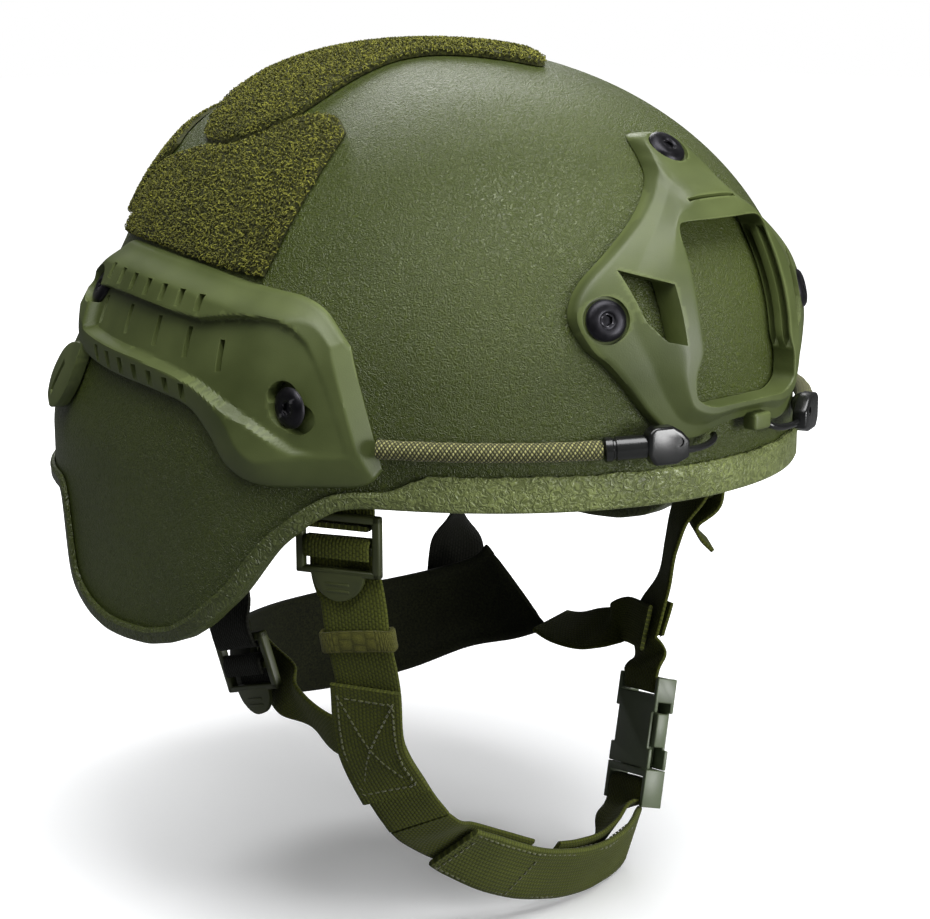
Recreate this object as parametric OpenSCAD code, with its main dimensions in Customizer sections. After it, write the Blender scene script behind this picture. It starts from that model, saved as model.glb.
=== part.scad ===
// Combat helmet with side rails, a front shroud, loop panels, inner pads and a four strap chin harness.
// Millimetres. +Z is up, the face looks along -Y, the wearer's left is +X.
// Height 0 is the lower edge of the front brim, and the Z axis runs through the middle of the crown.

/* [Shell] */
// Half width of the shell above the ears
shell_half_w = 120; // [114:1:126]
// Length from the middle to the front
shell_front = 139.5; // [134:0.5:144]
// Length from the middle to the rear of the dome
shell_rear = 134; // [128:1:138]
// Height of the dome above its shoulder line
dome_h = 106.5; // [101:1:112]
// Height of the shoulder line, where the dome starts
shoulder_z = 42; // [38:1:46]
// Wall of the shell
wall = 7; // [6:0.5:8]
// How far the skirt flares out at the ears
ear_flare = 13; // [10:1:15]
// How far the skirt flares out at the nape
nape_flare = 20; // [16:1:23]
// Depth of the ear flaps below the brim
ear_drop = 61; // [54:1:66]
// Depth of the nape edge below the brim
nape_drop = 16; // [12:1:20]

/* [Edge trim] */
// Wall of the rubber edge trim
trim_wall = 1.5; // [1.2:0.1:2]
// Height of the trim's outer lip at the brim
trim_lip = 10.5; // [8:0.5:11]
// Height of the trim's lips at the ears and nape
trim_lip_low = 4; // [3:0.5:5]

/* [Loop panels] */
// Thickness of the loop fabric
loop_t = 2.2; // [1.5:0.1:3]
// Half width of the crown panel where it is widest
crown_half_w = 79; // [72:1:82]

/* [Shroud] */
// Height of the shroud's rim above the shell
shroud_rim_t = 4.5; // [3.5:0.5:5.5]
// Height of the raised frame round the shroud's opening
shroud_frame_t = 9.5; // [8:0.5:10.5]
// Half width of the shroud's opening
window_half_w = 24; // [22:0.5:25]
// Distance of the wing screws from the middle
wing_screw_x = 51; // [49:0.5:52]
// Height of the wing screws
wing_screw_z = 63; // [61:0.5:65]
// Height of the top screw
top_screw_z = 113; // [111:0.5:114]
// Radius of the hole in the lanyard lug
lug_hole_r = 2.2; // [1.8:0.1:2.6]
// Thickness of the lanyard lug
lug_t = 4; // [3:0.5:5]
// Distance of the lanyard lug from the middle, on the wearer's left
lug_x = 27.5; // [25:0.5:29]

/* [Rails] */
// Height of the rail's bands above the shell
rail_t = 9; // [8:0.5:10]
// Height of the rail's channel floor above the shell
channel_t = 4.5; // [3.5:0.5:5.5]
// Number of notches in each band
notch_n = 7; // [5:1:8]
// Number of slots in the channel
slot_n = 5; // [3:1:6]

/* [Fasteners] */
// Radius of the screw heads
head_r = 7; // [6:0.5:7.5]
// Thickness of the screw heads
head_t = 2.6; // [2:0.2:3]
// Radius of the screw shanks
shank_r = 2.5; // [2:0.1:3]
// Clearance round each shank
hole_gap = 0.4; // [0.3:0.1:0.8]
// Height of the front side bolts, on which the chin harness swings
bolt_z = 34; // [32:1:36]
// Distance of the front side bolts ahead of the middle
bolt_ahead = 49; // [46:1:52]
// Azimuth of the rear side bolts from the front
rear_bolt_a = 122; // [121:0.5:122.5]
// Height of the rear side bolts
rear_bolt_z = 60; // [59:0.5:61]

/* [Elastic cords] */
// Diameter of each elastic cord
bungee_d = 6.5; // [5:0.5:7]
// Height of the cords above the brim edge
bungee_z = 21.5; // [20:0.5:23]

/* [Webbing] */
// Width of the harness webbing
web_w = 25; // [22:1:26]
// Thickness of the harness webbing
web_t = 1.8; // [1.4:0.1:2.2]
// Distance of the front tabs from the middle plane
tab_x = 101; // [100:0.5:101.5]
// Width of the chin cup
cup_w = 28; // [26:1:32]
// Thickness of the nape band
nape_t = 5; // [4:0.5:7]

/* [Ladder locks] */
// Outer width of the frames
lock_w = 32; // [30:1:34]
// Height of the frames
lock_h = 22; // [20:1:24]
// Thickness of the frames
lock_t = 3.4; // [3:0.2:4]

/* [Buckle] */
// Width of the side release buckle
buckle_w = 31; // [29:1:33]
// Thickness of the buckle
buckle_t = 9; // [8:0.5:10]
// Length of the socket half
socket_l = 37; // [34:1:40]
// Length of the plug half's body
plug_l = 15; // [14:1:18]

/* [Inner pads] */
// Thickness of the pads at their crown
pad_t = 17; // [14:1:19]
// Radius of the crown pad
crown_pad_r = 56; // [50:1:58]

/* [Hidden] */

// Exponents of the plan and of the front, rear and side profiles of the dome
plan_n = 2.03;
front_m = 2.05;
rear_m = 2.46;
side_m = 1.77;
// Exponent of the squarer plan that the flared skirt has at the rear
skirt_n = 2.5;
// Azimuth where the ear flare starts, and the heights between which the flare grows
flare_a = 52;
flare_top = shoulder_z + 40;
flare_low = shoulder_z - 38;
// Running gap between a piece and the curved skin that it lies on
seat = 0.5;
// Rows of the shell's faces, and the azimuths of its columns, drawn together at the rear edge of the ear
// flaps
dome_rows = 13;
skirt_rows = 7;
ear_end = 121.4;
nape_start = 123.8;
half_columns = concat([for (a = [0 : 6 : 114]) a], [ear_end, nape_start], [for (a = [131 : 7 : 173]) a]);
columns = concat(half_columns, [180], [for (i = [len(half_columns) - 1 : -1 : 1]) 360 - half_columns[i]]);
// Lower edge of the ear flaps: azimuth and share of the ear drop
ear_edge = [[58, 0], [62, 0.02], [66, 0.1], [72.6, 0.29], [78.7, 0.58], [85.5, 0.8], [91, 0.92],
  [97.7, 0.985],
  [104, 1], [109, 0.995], [114, 0.95], [118, 0.88], [ear_end, 0.77]];

olive = [0.33, 0.35, 0.22];
moss = [0.27, 0.3, 0.14];
black = [0.1, 0.1, 0.09];
web_green = [0.3, 0.33, 0.13];
foam = [0.15, 0.16, 0.12];

// Ease between 0 and 1
function ease(t) = let(s = max(0, min(1, t))) s * s * (3 - 2 * s);
function unit(v) = v / norm(v);
// Azimuth folded to 0 at the front and 180 at the rear
function fold(a) = let(b = abs(a) % 360) b > 180 ? 360 - b : b;
function oval(a, front, rear, side, n) =
  pow(pow(abs(cos(a)) / (cos(a) > 0 ? front : rear), n) + pow(abs(sin(a)) / side, n), -1 / n);
function plan_r(a) = oval(a, shell_front, shell_rear, shell_half_w, plan_n);
function flare_r(a) = fold(a) <= 90 ? ear_flare * ease((fold(a) - flare_a) / (90 - flare_a))
  : oval(a, shell_front, shell_rear + nape_flare, shell_half_w + ear_flare, skirt_n) - plan_r(a);
function profile_m(a) = side_m + ((cos(a) > 0 ? front_m : rear_m) - side_m) * cos(a) * cos(a);
function skin_r(a, z, off) = let(m = profile_m(a), k = max(0, min(1, (z - shoulder_z) / (dome_h + off))))
  (plan_r(a) + off) * pow(1 - pow(k, m), 1 / m)
    + flare_r(a) * ease((flare_top - z) / (flare_top - flare_low));
// Point of the skin at azimuth a and height z, moved out by off. Azimuth grows towards the wearer's right.
function skin(a, z, off = 0) = let(r = skin_r(a, z, off)) [-r * sin(a), -r * cos(a), z];
// Point of the skin over x and y, for places near the crown
function crown(x, y, off = 0) = let(a = atan2(-x, -y), m = profile_m(a),
  k = min(1, norm([x, y]) / (plan_r(a) + off))) [x, y, shoulder_z
    + (dome_h + off) * pow(1 - pow(k, m), 1 / m)];
// Point of the skin at the front, over x and z
function brow(x, z, off = 0) = let(k = max(0, (z - shoulder_z) / (dome_h + off)),
  rho = pow(1 - pow(k, front_m), 1 / front_m),
  s = pow(1 - pow(abs(x) / ((shell_half_w + off) * rho), plan_n), 1 / plan_n))
  [x, -(shell_front + off) * rho * s, z];
// Value of a list of [key, value] pairs at a key between them
function along(table, t) = t <= table[0][0] ? table[0][1] :
  let(last = len(table) - 1) t >= table[last][0] ? table[last][1] :
  let(i = [for (j = [0 : last - 1]) if (t >= table[j][0] && t < table[j + 1][0]) j][0],
    f = (t - table[i][0]) / (table[i + 1][0] - table[i][0])) table[i][1] * (1 - f) + table[i + 1][1] * f;
// Height of the shell's lower edge, which the trim wraps
function edge_z(a) = let(b = fold(a), lift = seat + trim_wall, low = -ear_drop * along(ear_edge, b))
  lift + (b <= ear_end ? low : b >= nape_start ? -nape_drop :
    low + (-nape_drop - low) * (b - ear_end) / (nape_start - ear_end));

// Smooth curve through points chosen by hand
function bend(a, b, c, d, t) = 0.5 * (2 * b + (c - a) * t + (2 * a - 5 * b + 4 * c - d) * t * t
  + (3 * b - a - 3 * c + d) * t * t * t);
function curve(p, n) = let(e = len(p) - 1) concat([for (i = [0 : e - 1]) for (k = [0 : n - 1])
  bend(p[max(0, i - 1)], p[i], p[i + 1], p[min(e, i + 2)], k / n)], [p[e]]);

// A solid from points and triangles, turned the right way out
module solid(pts, tris) {
  total = [for (t = tris) cross(pts[t[0]], pts[t[1]]) * pts[t[2]]] * [for (t = tris) 1];
  polyhedron(pts, total > 0 ? [for (t = tris) [t[0], t[2], t[1]]] : tris, convexity = 8);
}
function flat(lists) = [for (l = lists) for (v = l) v];
function quad(a, b, c, d) = [[a, b, c], [a, c, d]];

// A slab between two grids of points of the same size
module slab(top, base) {
  r = len(top);
  c = len(top[0]);
  n = r * c;
  function at(i, j, s) = s * n + i * c + j;
  solid(concat(flat(top), flat(base)), flat(concat(
    [for (i = [0 : r - 2]) for (j = [0 : c - 2])
      quad(at(i, j, 0), at(i + 1, j, 0), at(i + 1, j + 1, 0), at(i, j + 1, 0))],
    [for (i = [0 : r - 2]) for (j = [0 : c - 2])
      quad(at(i, j, 1), at(i, j + 1, 1), at(i + 1, j + 1, 1), at(i + 1, j, 1))],
    [for (j = [0 : c - 2]) quad(at(0, j, 0), at(0, j + 1, 0), at(0, j + 1, 1), at(0, j, 1))],
    [for (j = [0 : c - 2]) quad(at(r - 1, j, 1), at(r - 1, j + 1, 1), at(r - 1, j + 1, 0), at(r - 1, j, 0))],
    [for (i = [0 : r - 2]) quad(at(i, 0, 1), at(i + 1, 0, 1), at(i + 1, 0, 0), at(i, 0, 0))],
    [for (i = [0 : r - 2]) quad(at(i, c - 1, 0), at(i + 1, c - 1, 0), at(i + 1, c - 1, 1),
      at(i, c - 1, 1))])));
}

// A solid between two caps, each a list of rings from the rim inwards and a pole
module capped(a, pole_a, b, pole_b) {
  m = len(a[0]);
  base = [0, len(a) * m + 1];
  pole = [len(a) * m, base[1] + len(b) * m];
  function at(i, j, s) = base[s] + i * m + j % m;
  solid(concat(flat(a), [pole_a], flat(b), [pole_b]), flat(concat(
    [for (i = [0 : 1 : len(a) - 2]) for (j = [0 : m - 1])
      quad(at(i, j, 0), at(i, j + 1, 0), at(i + 1, j + 1, 0), at(i + 1, j, 0))],
    [for (j = [0 : m - 1]) [[at(len(a) - 1, j, 0), at(len(a) - 1, j + 1, 0), pole[0]]]],
    [for (i = [0 : 1 : len(b) - 2]) for (j = [0 : m - 1])
      quad(at(i, j, 1), at(i + 1, j, 1), at(i + 1, j + 1, 1), at(i, j + 1, 1))],
    [for (j = [0 : m - 1]) [[at(len(b) - 1, j + 1, 1), at(len(b) - 1, j, 1), pole[1]]]],
    [for (j = [0 : m - 1]) quad(at(0, j + 1, 0), at(0, j, 0), at(0, j, 1), at(0, j + 1, 1))])));
}

// Rings of equal count joined into a tube, closed on itself or capped at its ends
module loft(rings, looped = false) {
  r = len(rings);
  m = len(rings[0]);
  last = looped ? r - 1 : r - 2;
  function at(i, j) = (i % r) * m + j % m;
  solid(flat(rings), concat(
    flat([for (i = [0 : last]) for (j = [0 : m - 1]) quad(at(i, j), at(i, j + 1), at(i + 1, j + 1),
      at(i + 1, j))]),
    looped ? [] : [for (j = [1 : m - 2]) [at(0, 0), at(0, j + 1), at(0, j)]],
    looped ? [] : [for (j = [1 : m - 2]) [at(r - 1, 0), at(r - 1, j), at(r - 1, j + 1)]]));
}

// Webbing along points p, with the direction of its width at each point, and one width or one a point
module ribbon(p, across, width, thick, steps = 3) {
  q = curve(p, steps);
  d = curve(across, steps);
  wide = is_list(width) ? curve(width, steps) : [for (v = q) width];
  e = len(q) - 1;
  loft([for (i = [0 : e]) let(t = unit(q[min(e, i + 1)] - q[max(0, i - 1)]),
    w = unit(d[i] - (d[i] * t) * t), n = cross(t, w), a = w * wide[i] / 2, b = n * thick / 2)
    [q[i] + a + b, q[i] - a + b, q[i] - a - b, q[i] + a - b]]);
}

// Moves children so that their +Z runs along up and their +X as near across as it can
module place(pos, up, across) {
  z = unit(up);
  x = unit(across - (across * z) * z);
  y = cross(z, x);
  multmatrix([[x[0], y[0], z[0], pos[0]], [x[1], y[1], z[1], pos[1]], [x[2], y[2], z[2], pos[2]],
    [0, 0, 0, 1]])
    children();
}
function skin_normal(a, z) = unit(cross(skin(a + 1, z) - skin(a - 1, z), skin(a, z - 2) - skin(a, z + 2)));
module on_skin(a, z, off = 0) {
  place(skin(a, z, off), skin_normal(a, z), [0, 0, 1]) children();
}
module left_side() {
  mirror([1, 0, 0]) children();
}
module box(size) {
  cube(size, center = true);
}
module rod(r, h, sides = 48) {
  cylinder(r = r, h = h, center = true, $fn = sides);
}

// Half width of the shell for which the harness's points were chosen, and their move outwards on another
// shell: whole down to the foot of the ear flaps, and none at the chin
drawn_half_w = 120;
side_shift = shell_half_w - drawn_half_w;
tab_at = tab_x + side_shift;
function shifted(points) = [for (p = points)
  [p[0] + sign(p[0]) * side_shift * ease((p[2] + 125) / 60), p[1], p[2]]];

// Places of the screws, and a length that drills through everything at a screw
drill_l = 80;
wing_a = atan2(wing_screw_x, -brow(wing_screw_x, wing_screw_z)[1]);
hole_r = shank_r + hole_gap;
module for_shroud_screws() {
  on_skin(wing_a, wing_screw_z) children();
  on_skin(-wing_a, wing_screw_z) children();
  on_skin(0, top_screw_z) children();
}
module for_front_bolts() {
  for (s = [-1, 1])
    translate([s * tab_at, -bolt_ahead, bolt_z]) rotate([0, s * 90, 0]) children();
}
module for_rear_bolts() {
  on_skin(rear_bolt_a, rear_bolt_z) children();
  on_skin(-rear_bolt_a, rear_bolt_z) children();
}

// Shell
function shell_ring(j, off) = [for (a = columns) let(low = edge_z(a))
  j < skirt_rows ? skin(a, low + (shoulder_z - low) * j / skirt_rows, off) :
  let(t = 90 * (j - skirt_rows) / dome_rows, m = profile_m(a), z = shoulder_z
    + (dome_h + off) * pow(sin(t), 2 / m))
  skin(a, z, off)];
module shell() {
  rows = skirt_rows + dome_rows;
  color(olive) difference() {
    capped([for (j = [0 : rows - 1]) shell_ring(j, 0)], [0, 0, shoulder_z + dome_h],
      [for (j = [0 : rows - 1]) shell_ring(j, -wall)], [0, 0, shoulder_z + dome_h - wall]);
    for_shroud_screws() rod(hole_r, drill_l);
    for_front_bolts() rod(hole_r, drill_l);
    for_rear_bolts() rod(hole_r, drill_l);
  }
}

// Edge trim
function lip_h(a) = trim_lip + (trim_lip_low - trim_lip) * ease((fold(a) - 46) / 9);
module edge_trim() {
  out = seat + trim_wall;
  color(olive) loft([for (a = columns) let(e = edge_z(a), lip = lip_h(a), low = e - seat - trim_wall,
    inner = -wall - seat, b = e - seat)
    [skin(a, b, seat), skin(a, e + lip, seat), skin(a, e + lip, out), skin(a, low, out),
      skin(a, low, inner - trim_wall), skin(a, e + trim_lip_low, inner - trim_wall),
        skin(a, e + trim_lip_low, inner),
      skin(a, b, inner)]], true);
}

// Loop panels
crown_plan = [[-50, 1.5], [-46, 5], [-41, 8], [-36, 11], [-30, 14], [-24, 17], [-17, 20], [-10, 24], [-4, 31],
  [0, 45], [3, crown_half_w - 20], [7, crown_half_w - 11], [12, crown_half_w - 7], [18, crown_half_w - 3],
  [25, crown_half_w - 0.5], [34, crown_half_w], [43, crown_half_w - 1], [51, crown_half_w - 5],
  [57, crown_half_w - 13], [62, crown_half_w - 26]];
module crown_loop_panel() {
  half = 6;
  function grid(off) = [for (row = crown_plan) [for (j = [-half : half]) crown(row[1] * j / half, row[0],
    off)]];
  color(moss) slab(grid(seat + loop_t), grid(seat));
}
side_top = [[71.5, 121], [78, 125.5], [87, 126.7], [95, 124], [102, 118.2], [109, 114.6], [119, 113.4],
  [133, 106]];
side_low = [[77.7, 74.5], [83, 75.5], [88, 76.5], [98, 78.3], [107, 80], [115, 80.7], [124, 81], [131, 81]];
module side_loop_panel_right() {
  rows = 4;
  top = curve(side_top, 2);
  low = curve(side_low, 2);
  function grid(off) = [for (k = [0 : rows]) [for (i = [0 : len(top) - 1])
    let(p = top[i] + (low[i] - top[i]) * k / rows) skin(p[0], p[1], off)]];
  color(moss) slab(grid(seat + loop_t), grid(seat));
}
module side_loop_panel_left() {
  left_side() side_loop_panel_right();
}
module rear_loop_panel() {
  rows = 4;
  half = 5;
  function grid(off) = [for (k = [0 : rows]) [for (j = [-half : half])
    let(a = 180 + 43 * j / half, top = 128 - 16 * pow(abs(j) / half, 2), z = top + (86 - top) * k / rows)
    skin(a, z, off)]];
  color(moss) slab(grid(seat + loop_t), grid(seat));
}

// Shroud: stations round the frame, each an outer and an inner point over x and z
shroud_top = top_screw_z + 8;
shroud_low = 22.5;
window_top = 94;
window_low = 33.5;
wing_tip = wing_screw_x + 10;
shroud_half = [
  [[0, shroud_top], [0, window_top]],
  [[8, shroud_top - 1], [8, window_top]],
  [[11, shroud_top - 7], [14.5, window_top]],
  [[15, shroud_top - 14], [window_half_w - 3.5, window_top - 0.5]],
  [[27, 97], [window_half_w - 1.5, window_top - 3]],
  [[43, 85.5], [window_half_w - 1, 85]],
  [[wing_tip - 5, wing_screw_z + 12], [window_half_w - 0.5, 77]],
  [[wing_tip, wing_screw_z + 2], [window_half_w, 68]],
  [[wing_tip - 3, wing_screw_z - 8], [window_half_w, 60]],
  [[53, 49.5], [window_half_w, 52]],
  [[46.5, 41], [window_half_w + 2.5, 46]],
  [[39, 31], [window_half_w + 3, 41]],
  [[31, shroud_low + 1.5], [window_half_w + 2, 36.5]],
  [[22, shroud_low], [window_half_w - 5, window_low]],
  [[11, shroud_low + 3], [9, window_low]],
  [[0, shroud_low + 4], [0, window_low]]];
last_half = len(shroud_half) - 1;
shroud_stations = concat(shroud_half,
  [for (i = [last_half - 1 : -1 : 1]) [for (p = shroud_half[i]) [-p[0], p[1]]]]);
module shroud() {
  n = len(shroud_stations);
  function station(i) = shroud_stations[i % n];
  function between(i, f) = let(s = station(i)) s[0] + (s[1] - s[0]) * f;
  function mixed(i, f) = bend(between(i + n - 1, f), between(i, f), between(i + 1, f), between(i + 2, f),
    0.5);
  function spot(i, h, f, off) = let(p = h == 0 ? between(i, f) : mixed(i, f)) brow(p[0], p[1], off);
  mid_t = (shroud_rim_t + shroud_frame_t) / 2 - 0.5;
  color(olive) difference() {
    union() {
      loft([for (i = [0 : n - 1]) for (h = [0, 1]) [spot(i, h, 0, seat), spot(i, h, 0, shroud_rim_t),
        spot(i, h, 0.45, mid_t), spot(i, h, 0.72, shroud_frame_t), spot(i, h, 1, shroud_frame_t),
        spot(i, h, 1, seat), spot(i, h, 0.72, seat), spot(i, h, 0.45, seat)]], true);
      lug();
      lug_catch();
    }
    for_shroud_screws() rod(hole_r, drill_l);
    for_shroud_screws() translate([0, 0, shroud_rim_t - 0.5]) cylinder(r = head_r + 1, h = 20, $fn = 48);
    for (s = [-1, 1]) wing_cut(s);
    lug_bore();
  }
}
// Lanyard lug, far enough ahead of the frame for a long pin to pass the hook of the left cord
lug_ahead = 4;
lug_y = brow(lug_x, shroud_low + 4, shroud_frame_t)[1] - lug_ahead;
lug_z = shroud_low + 5;
module lug() {
  translate([lug_x, lug_y, lug_z]) rotate([0, 90, 0]) rod(2 * lug_hole_r + 0.6, lug_t);
  translate([lug_x, lug_y + lug_ahead + 1, lug_z]) box([lug_t, 2 * lug_ahead + 2, 2 * lug_hole_r + 3]);
}
module lug_bore() {
  translate([lug_x, lug_y, lug_z]) rotate([0, 90, 0]) rod(lug_hole_r, lug_t + 2);
}
module wing_cut(s) {
  rotate([90, 0, 0]) linear_extrude(200)
    polygon([for (p = [[31.5, 75], [46, 80], [44, 72], [42, 63], [36.5, 56.5], [30.5, 55]]) [s * p[0],
      p[1]]]);
}
// Small catch under the shroud, beside the middle
module lug_catch() {
  front = brow(6, shroud_low + 4, shroud_frame_t)[1];
  translate([6, front + 3, shroud_low + 2.5]) box([9, 6, 6]);
}

// Round head screws and nuts
module screw(length, recess) {
  difference() {
    union() {
      cylinder(r = head_r, h = head_t * 0.45, $fn = 48);
      translate([0, 0, head_t * 0.45]) cylinder(r1 = head_r, r2 = head_r - 1.6, h = head_t * 0.55, $fn = 48);
      translate([0, 0, -length]) cylinder(r = shank_r, h = length + 0.1, $fn = 48);
    }
    translate([0, 0, head_t - 1.4]) cylinder(r = recess, h = 3, $fn = 6);
  }
}
module nut() {
  difference() {
    union() {
      cylinder(r = 6.5, h = 1.2, $fn = 48);
      translate([0, 0, -2.4]) cylinder(r = 4.6, h = 2.5, $fn = 6);
    }
    rod(shank_r + 0.05, 12);
  }
}
module shroud_screws() {
  color(black) for_shroud_screws() translate([0, 0, shroud_rim_t - 0.5 + 0.02]) screw(shroud_rim_t + wall
    + 3, 2);
}
module shroud_nuts() {
  color(black) for_shroud_screws() translate([0, 0, -wall - 1.2 - 2 * seat]) nut();
}

// Side rails: pairs of upper and lower points over azimuth and height, from the front end to the rear
rail_plan = [
  [[59.4, 54.6], [54.4, 13.5]],
  [[63.7, 65], [57.3, 8.2]],
  [[68, 69.3], [66, 6.6]],
  [[73, 70.8], [73.8, 6.8]],
  [[78, 71.9], [78.3, 13.5]],
  [[84, 73.5], [81.6, 26]],
  [[90, 75.2], [86.5, 34.4]],
  [[98, 76.8], [95.5, 36.2]],
  [[106, 78], [105, 38.2]],
  [[113, 78.7], [112.5, 40]],
  [[119, 79], [118.5, 40.5]],
  [[123, 78.5], [123, 42]],
  [[126.5, 73.5], [126.5, 46]]];
// Share of the way from the upper to the lower edge, with heights for the front plate and for the channel
rail_v = [0, 0.08, 0.24, 0.29, 0.5, 0.72, 0.77, 0.93, 1];
rail_rim_t = 3;
plate_heights = [rail_rim_t, rail_t - 1.5, rail_t - 1.5, rail_t - 2.5, rail_t - 2.5, rail_t - 2.5,
  rail_t - 1.5, rail_t - 1.5, rail_rim_t];
channel_heights = [rail_rim_t, rail_t - 1, rail_t, channel_t, channel_t, channel_t, rail_t, rail_t - 1,
  rail_rim_t];
module rail_right() {
  e = len(rail_plan) - 1;
  top = curve([for (p = rail_plan) p[0]], 2);
  low = curve([for (p = rail_plan) p[1]], 2);
  cn = len(top) - 1;
  function height(i, k) = (i == 0 || i == cn) ? rail_rim_t :
    let(f = ease((i - 5) / 2)) plate_heights[k] * (1 - f) + channel_heights[k] * f;
  function grid(base) = [for (k = [0 : len(rail_v) - 1]) [for (i = [0 : cn])
    let(p = top[i] + (low[i] - top[i]) * rail_v[k]) skin(p[0], p[1], base ? seat : height(i, k))]];
  color(olive) difference() {
    union() {
      slab(grid(false), grid(true));
      rail_loop();
      translate([-bolt_head_x, -bolt_ahead, bolt_z]) rotate([0, 90, 0]) cylinder(r = head_r + 1, h = 1.8,
        $fn = 48);
    }
    for_front_bolts() rod(hole_r, drill_l);
    translate([-(bolt_head_x), -bolt_ahead, bolt_z]) rotate([0, -90, 0]) cylinder(r = head_r + 1, h = 20,
      $fn = 48);
    for_rear_bolts() rod(hole_r, drill_l);
    for_rear_bolts() translate([0, 0, channel_t - 1]) cylinder(r = head_r + 0.6, h = 20, $fn = 48);
    for (k = [0 : notch_n - 1]) let(f = k / (notch_n - 1)) {
      on_skin(116 - 29.2 * f, 72.3 - 3.6 * f, rail_t) box([7, 3, 6]);
      on_skin(111 - 24.2 * f, 43.2 - 5.3 * f, rail_t) box([7, 3, 6]);
    }
    for (k = [0 : slot_n - 1]) let(f = k / (slot_n - 1))
      on_skin(117.5 - 36 * f, 55.6 - 6.7 * f, channel_t) rotate([0, 0, 6]) box([11, 2.4, 5]);
  }
}
bolt_head_x = shell_half_w + 1.2;

// Low loop behind each rail, which takes a lanyard or an accessory strap
module rail_loop() {
  out = channel_t + 1;
  rows = [[[119, 42], [119, 36]], [[124, 41], [119.5, 27]], [[128.5, 36], [121.5, 20]],
    [[130.5, 27], [124, 16.5]],
    [[129, 19.5], [126, 16.2]]];
  difference() {
    slab([for (k = [0, 1]) [for (r = rows) skin(r[k][0], r[k][1], out)]],
      [for (k = [0, 1]) [for (r = rows) skin(r[k][0], r[k][1], 2 * seat)]]);
    on_skin(125.8, 27, channel_t) rotate([0, 0, -28]) box([15, 3.4, 16]);
  }
}
module rail_left() {
  left_side() rail_right();
}
module front_bolts() {
  shank = bolt_head_x - tab_at + 5;
  color(black) for (s = [-1, 1])
    translate([s * (bolt_head_x + 0.02), -bolt_ahead, bolt_z]) rotate([0, s * 90, 0]) screw(shank, 2);
}
module front_nuts() {
  color(black) for (s = [-1, 1])
    translate([s * (tab_at - web_t / 2 - 1.6), -bolt_ahead, bolt_z]) rotate([0, s * 90, 0]) nut();
}
module rear_bolts() {
  color(black) for_rear_bolts() translate([0, 0, channel_t - 1 + 0.02]) screw(channel_t + wall + 5, 2);
}
module rear_nuts() {
  color(black) for_rear_bolts() translate([0, 0, -wall - web_t - 3]) nut();
}

// Ladder lock: a frame with two bars and a thumb tab, its outer face towards +Y
bar_t = 2.4;
module ladder_lock() {
  side = (lock_w - web_w - 1) / 2;
  for (s = [-1, 1]) translate([s * (lock_w - side) / 2, 0, 0]) box([side, lock_t, lock_h]);
  translate([0, 0, lock_h / 2 - 1.4]) box([lock_w, lock_t, 2.8]);
  translate([0, 0, -1.5]) box([lock_w, bar_t, 3]);
  translate([0, 0, -lock_h / 2 + 1.2]) box([lock_w, lock_t, 2.4]);
  intersection() {
    translate([0, 0.6, -lock_h / 2]) rotate([90, 0, 0]) rod(10, 2.2, 64);
    translate([0, 0.6, -lock_h / 2 - 10 + 1]) box([24, 4, 20]);
  }
}

// Frames of the two front locks: origin, up and across
front_turn = 22;
front_across = [sin(front_turn), -cos(front_turn), 0];
lock_right = [shifted([[-102.7, -51.1, -16]])[0], [0, 0, 1], -front_across];
lock_left = [shifted([[101.6, -50.6, -15.5]])[0], [0.1, -0.1, 0.98], [-sin(front_turn), -cos(front_turn), 0]];
module lock_at(f) {
  color(black) place(f[0], f[1], f[2]) ladder_lock();
}
module front_lock_right() {
  lock_at(lock_right);
}
module front_lock_left() {
  lock_at(lock_left);
}

// Point of a local frame [origin, up, across], with across first, then outward, then up
function placed(f, p) = let(z = unit(f[1]), x = unit(f[2] - (f[2] * z) * z), y = cross(z, x))
  f[0] + x * p[0] + y * p[1] + z * p[2];
function routed(f, route) = [for (p = route) placed(f, [0, p[0], p[1]])];
function across_of(f) = placed([[0, 0, 0], f[1], f[2]], [1, 0, 0]);
function times(v, n) = [for (i = [1 : n]) v];

// Routes of webbing through a ladder lock, as outward and up: round the top bar from each side, and over
// the middle bar
strap_gap = lock_t / 2 + web_t / 2 + 0.35;
top_bar_z = lock_h / 2 - 1.4;
tab_wrap = [[-strap_gap, top_bar_z + 4], [-strap_gap, top_bar_z - 1], [-strap_gap * 0.8, top_bar_z - 2.7],
  [-0.6, top_bar_z - 3.3], [1.3, top_bar_z - 3.2]];
bar_wrap = [[strap_gap, top_bar_z + 5], [strap_gap, top_bar_z - 1], [strap_gap * 0.8, top_bar_z - 2.7],
  [0.6, top_bar_z - 3.3], [-1.3, top_bar_z - 3.2]];
lock_pass = [[2.6, -4.4], [2.7, -0.1], [1.2, 2], [-1.4, 1.9], [-2.75, -0.4], [-strap_gap, -4],
  [-strap_gap, -10]];

// Front tab: a plate bored for the bolt, then webbing round the lock's top bar
tab_end_r = 9;
tab_plate_h = 16;
module front_tab(s, lock) {
  turn = concat(times([0, -s, 0], 2), times(across_of(lock), len(tab_wrap)));
  color(web_green) {
    difference() {
      union() {
        translate([s * tab_at, -bolt_ahead, bolt_z]) rotate([0, 90, 0]) rod(tab_end_r, web_t, 64);
        translate([s * tab_at, -bolt_ahead, bolt_z - tab_plate_h / 2]) box([web_t, 2 * tab_end_r,
          tab_plate_h]);
      }
      for_front_bolts() rod(hole_r, drill_l);
    }
    ribbon(concat([[s * tab_at, -bolt_ahead, bolt_z - tab_plate_h + 0.1],
      [s * (tab_at - 0.8), -bolt_ahead - 0.2, bolt_z - tab_plate_h - 8]], routed(lock, tab_wrap)),
      turn, concat(times(2 * tab_end_r, 2), times(web_w - 1, len(tab_wrap))), web_t, 2);
  }
}
module front_tab_right() {
  front_tab(-1, lock_right);
}
module front_tab_left() {
  front_tab(1, lock_left);
}

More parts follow.
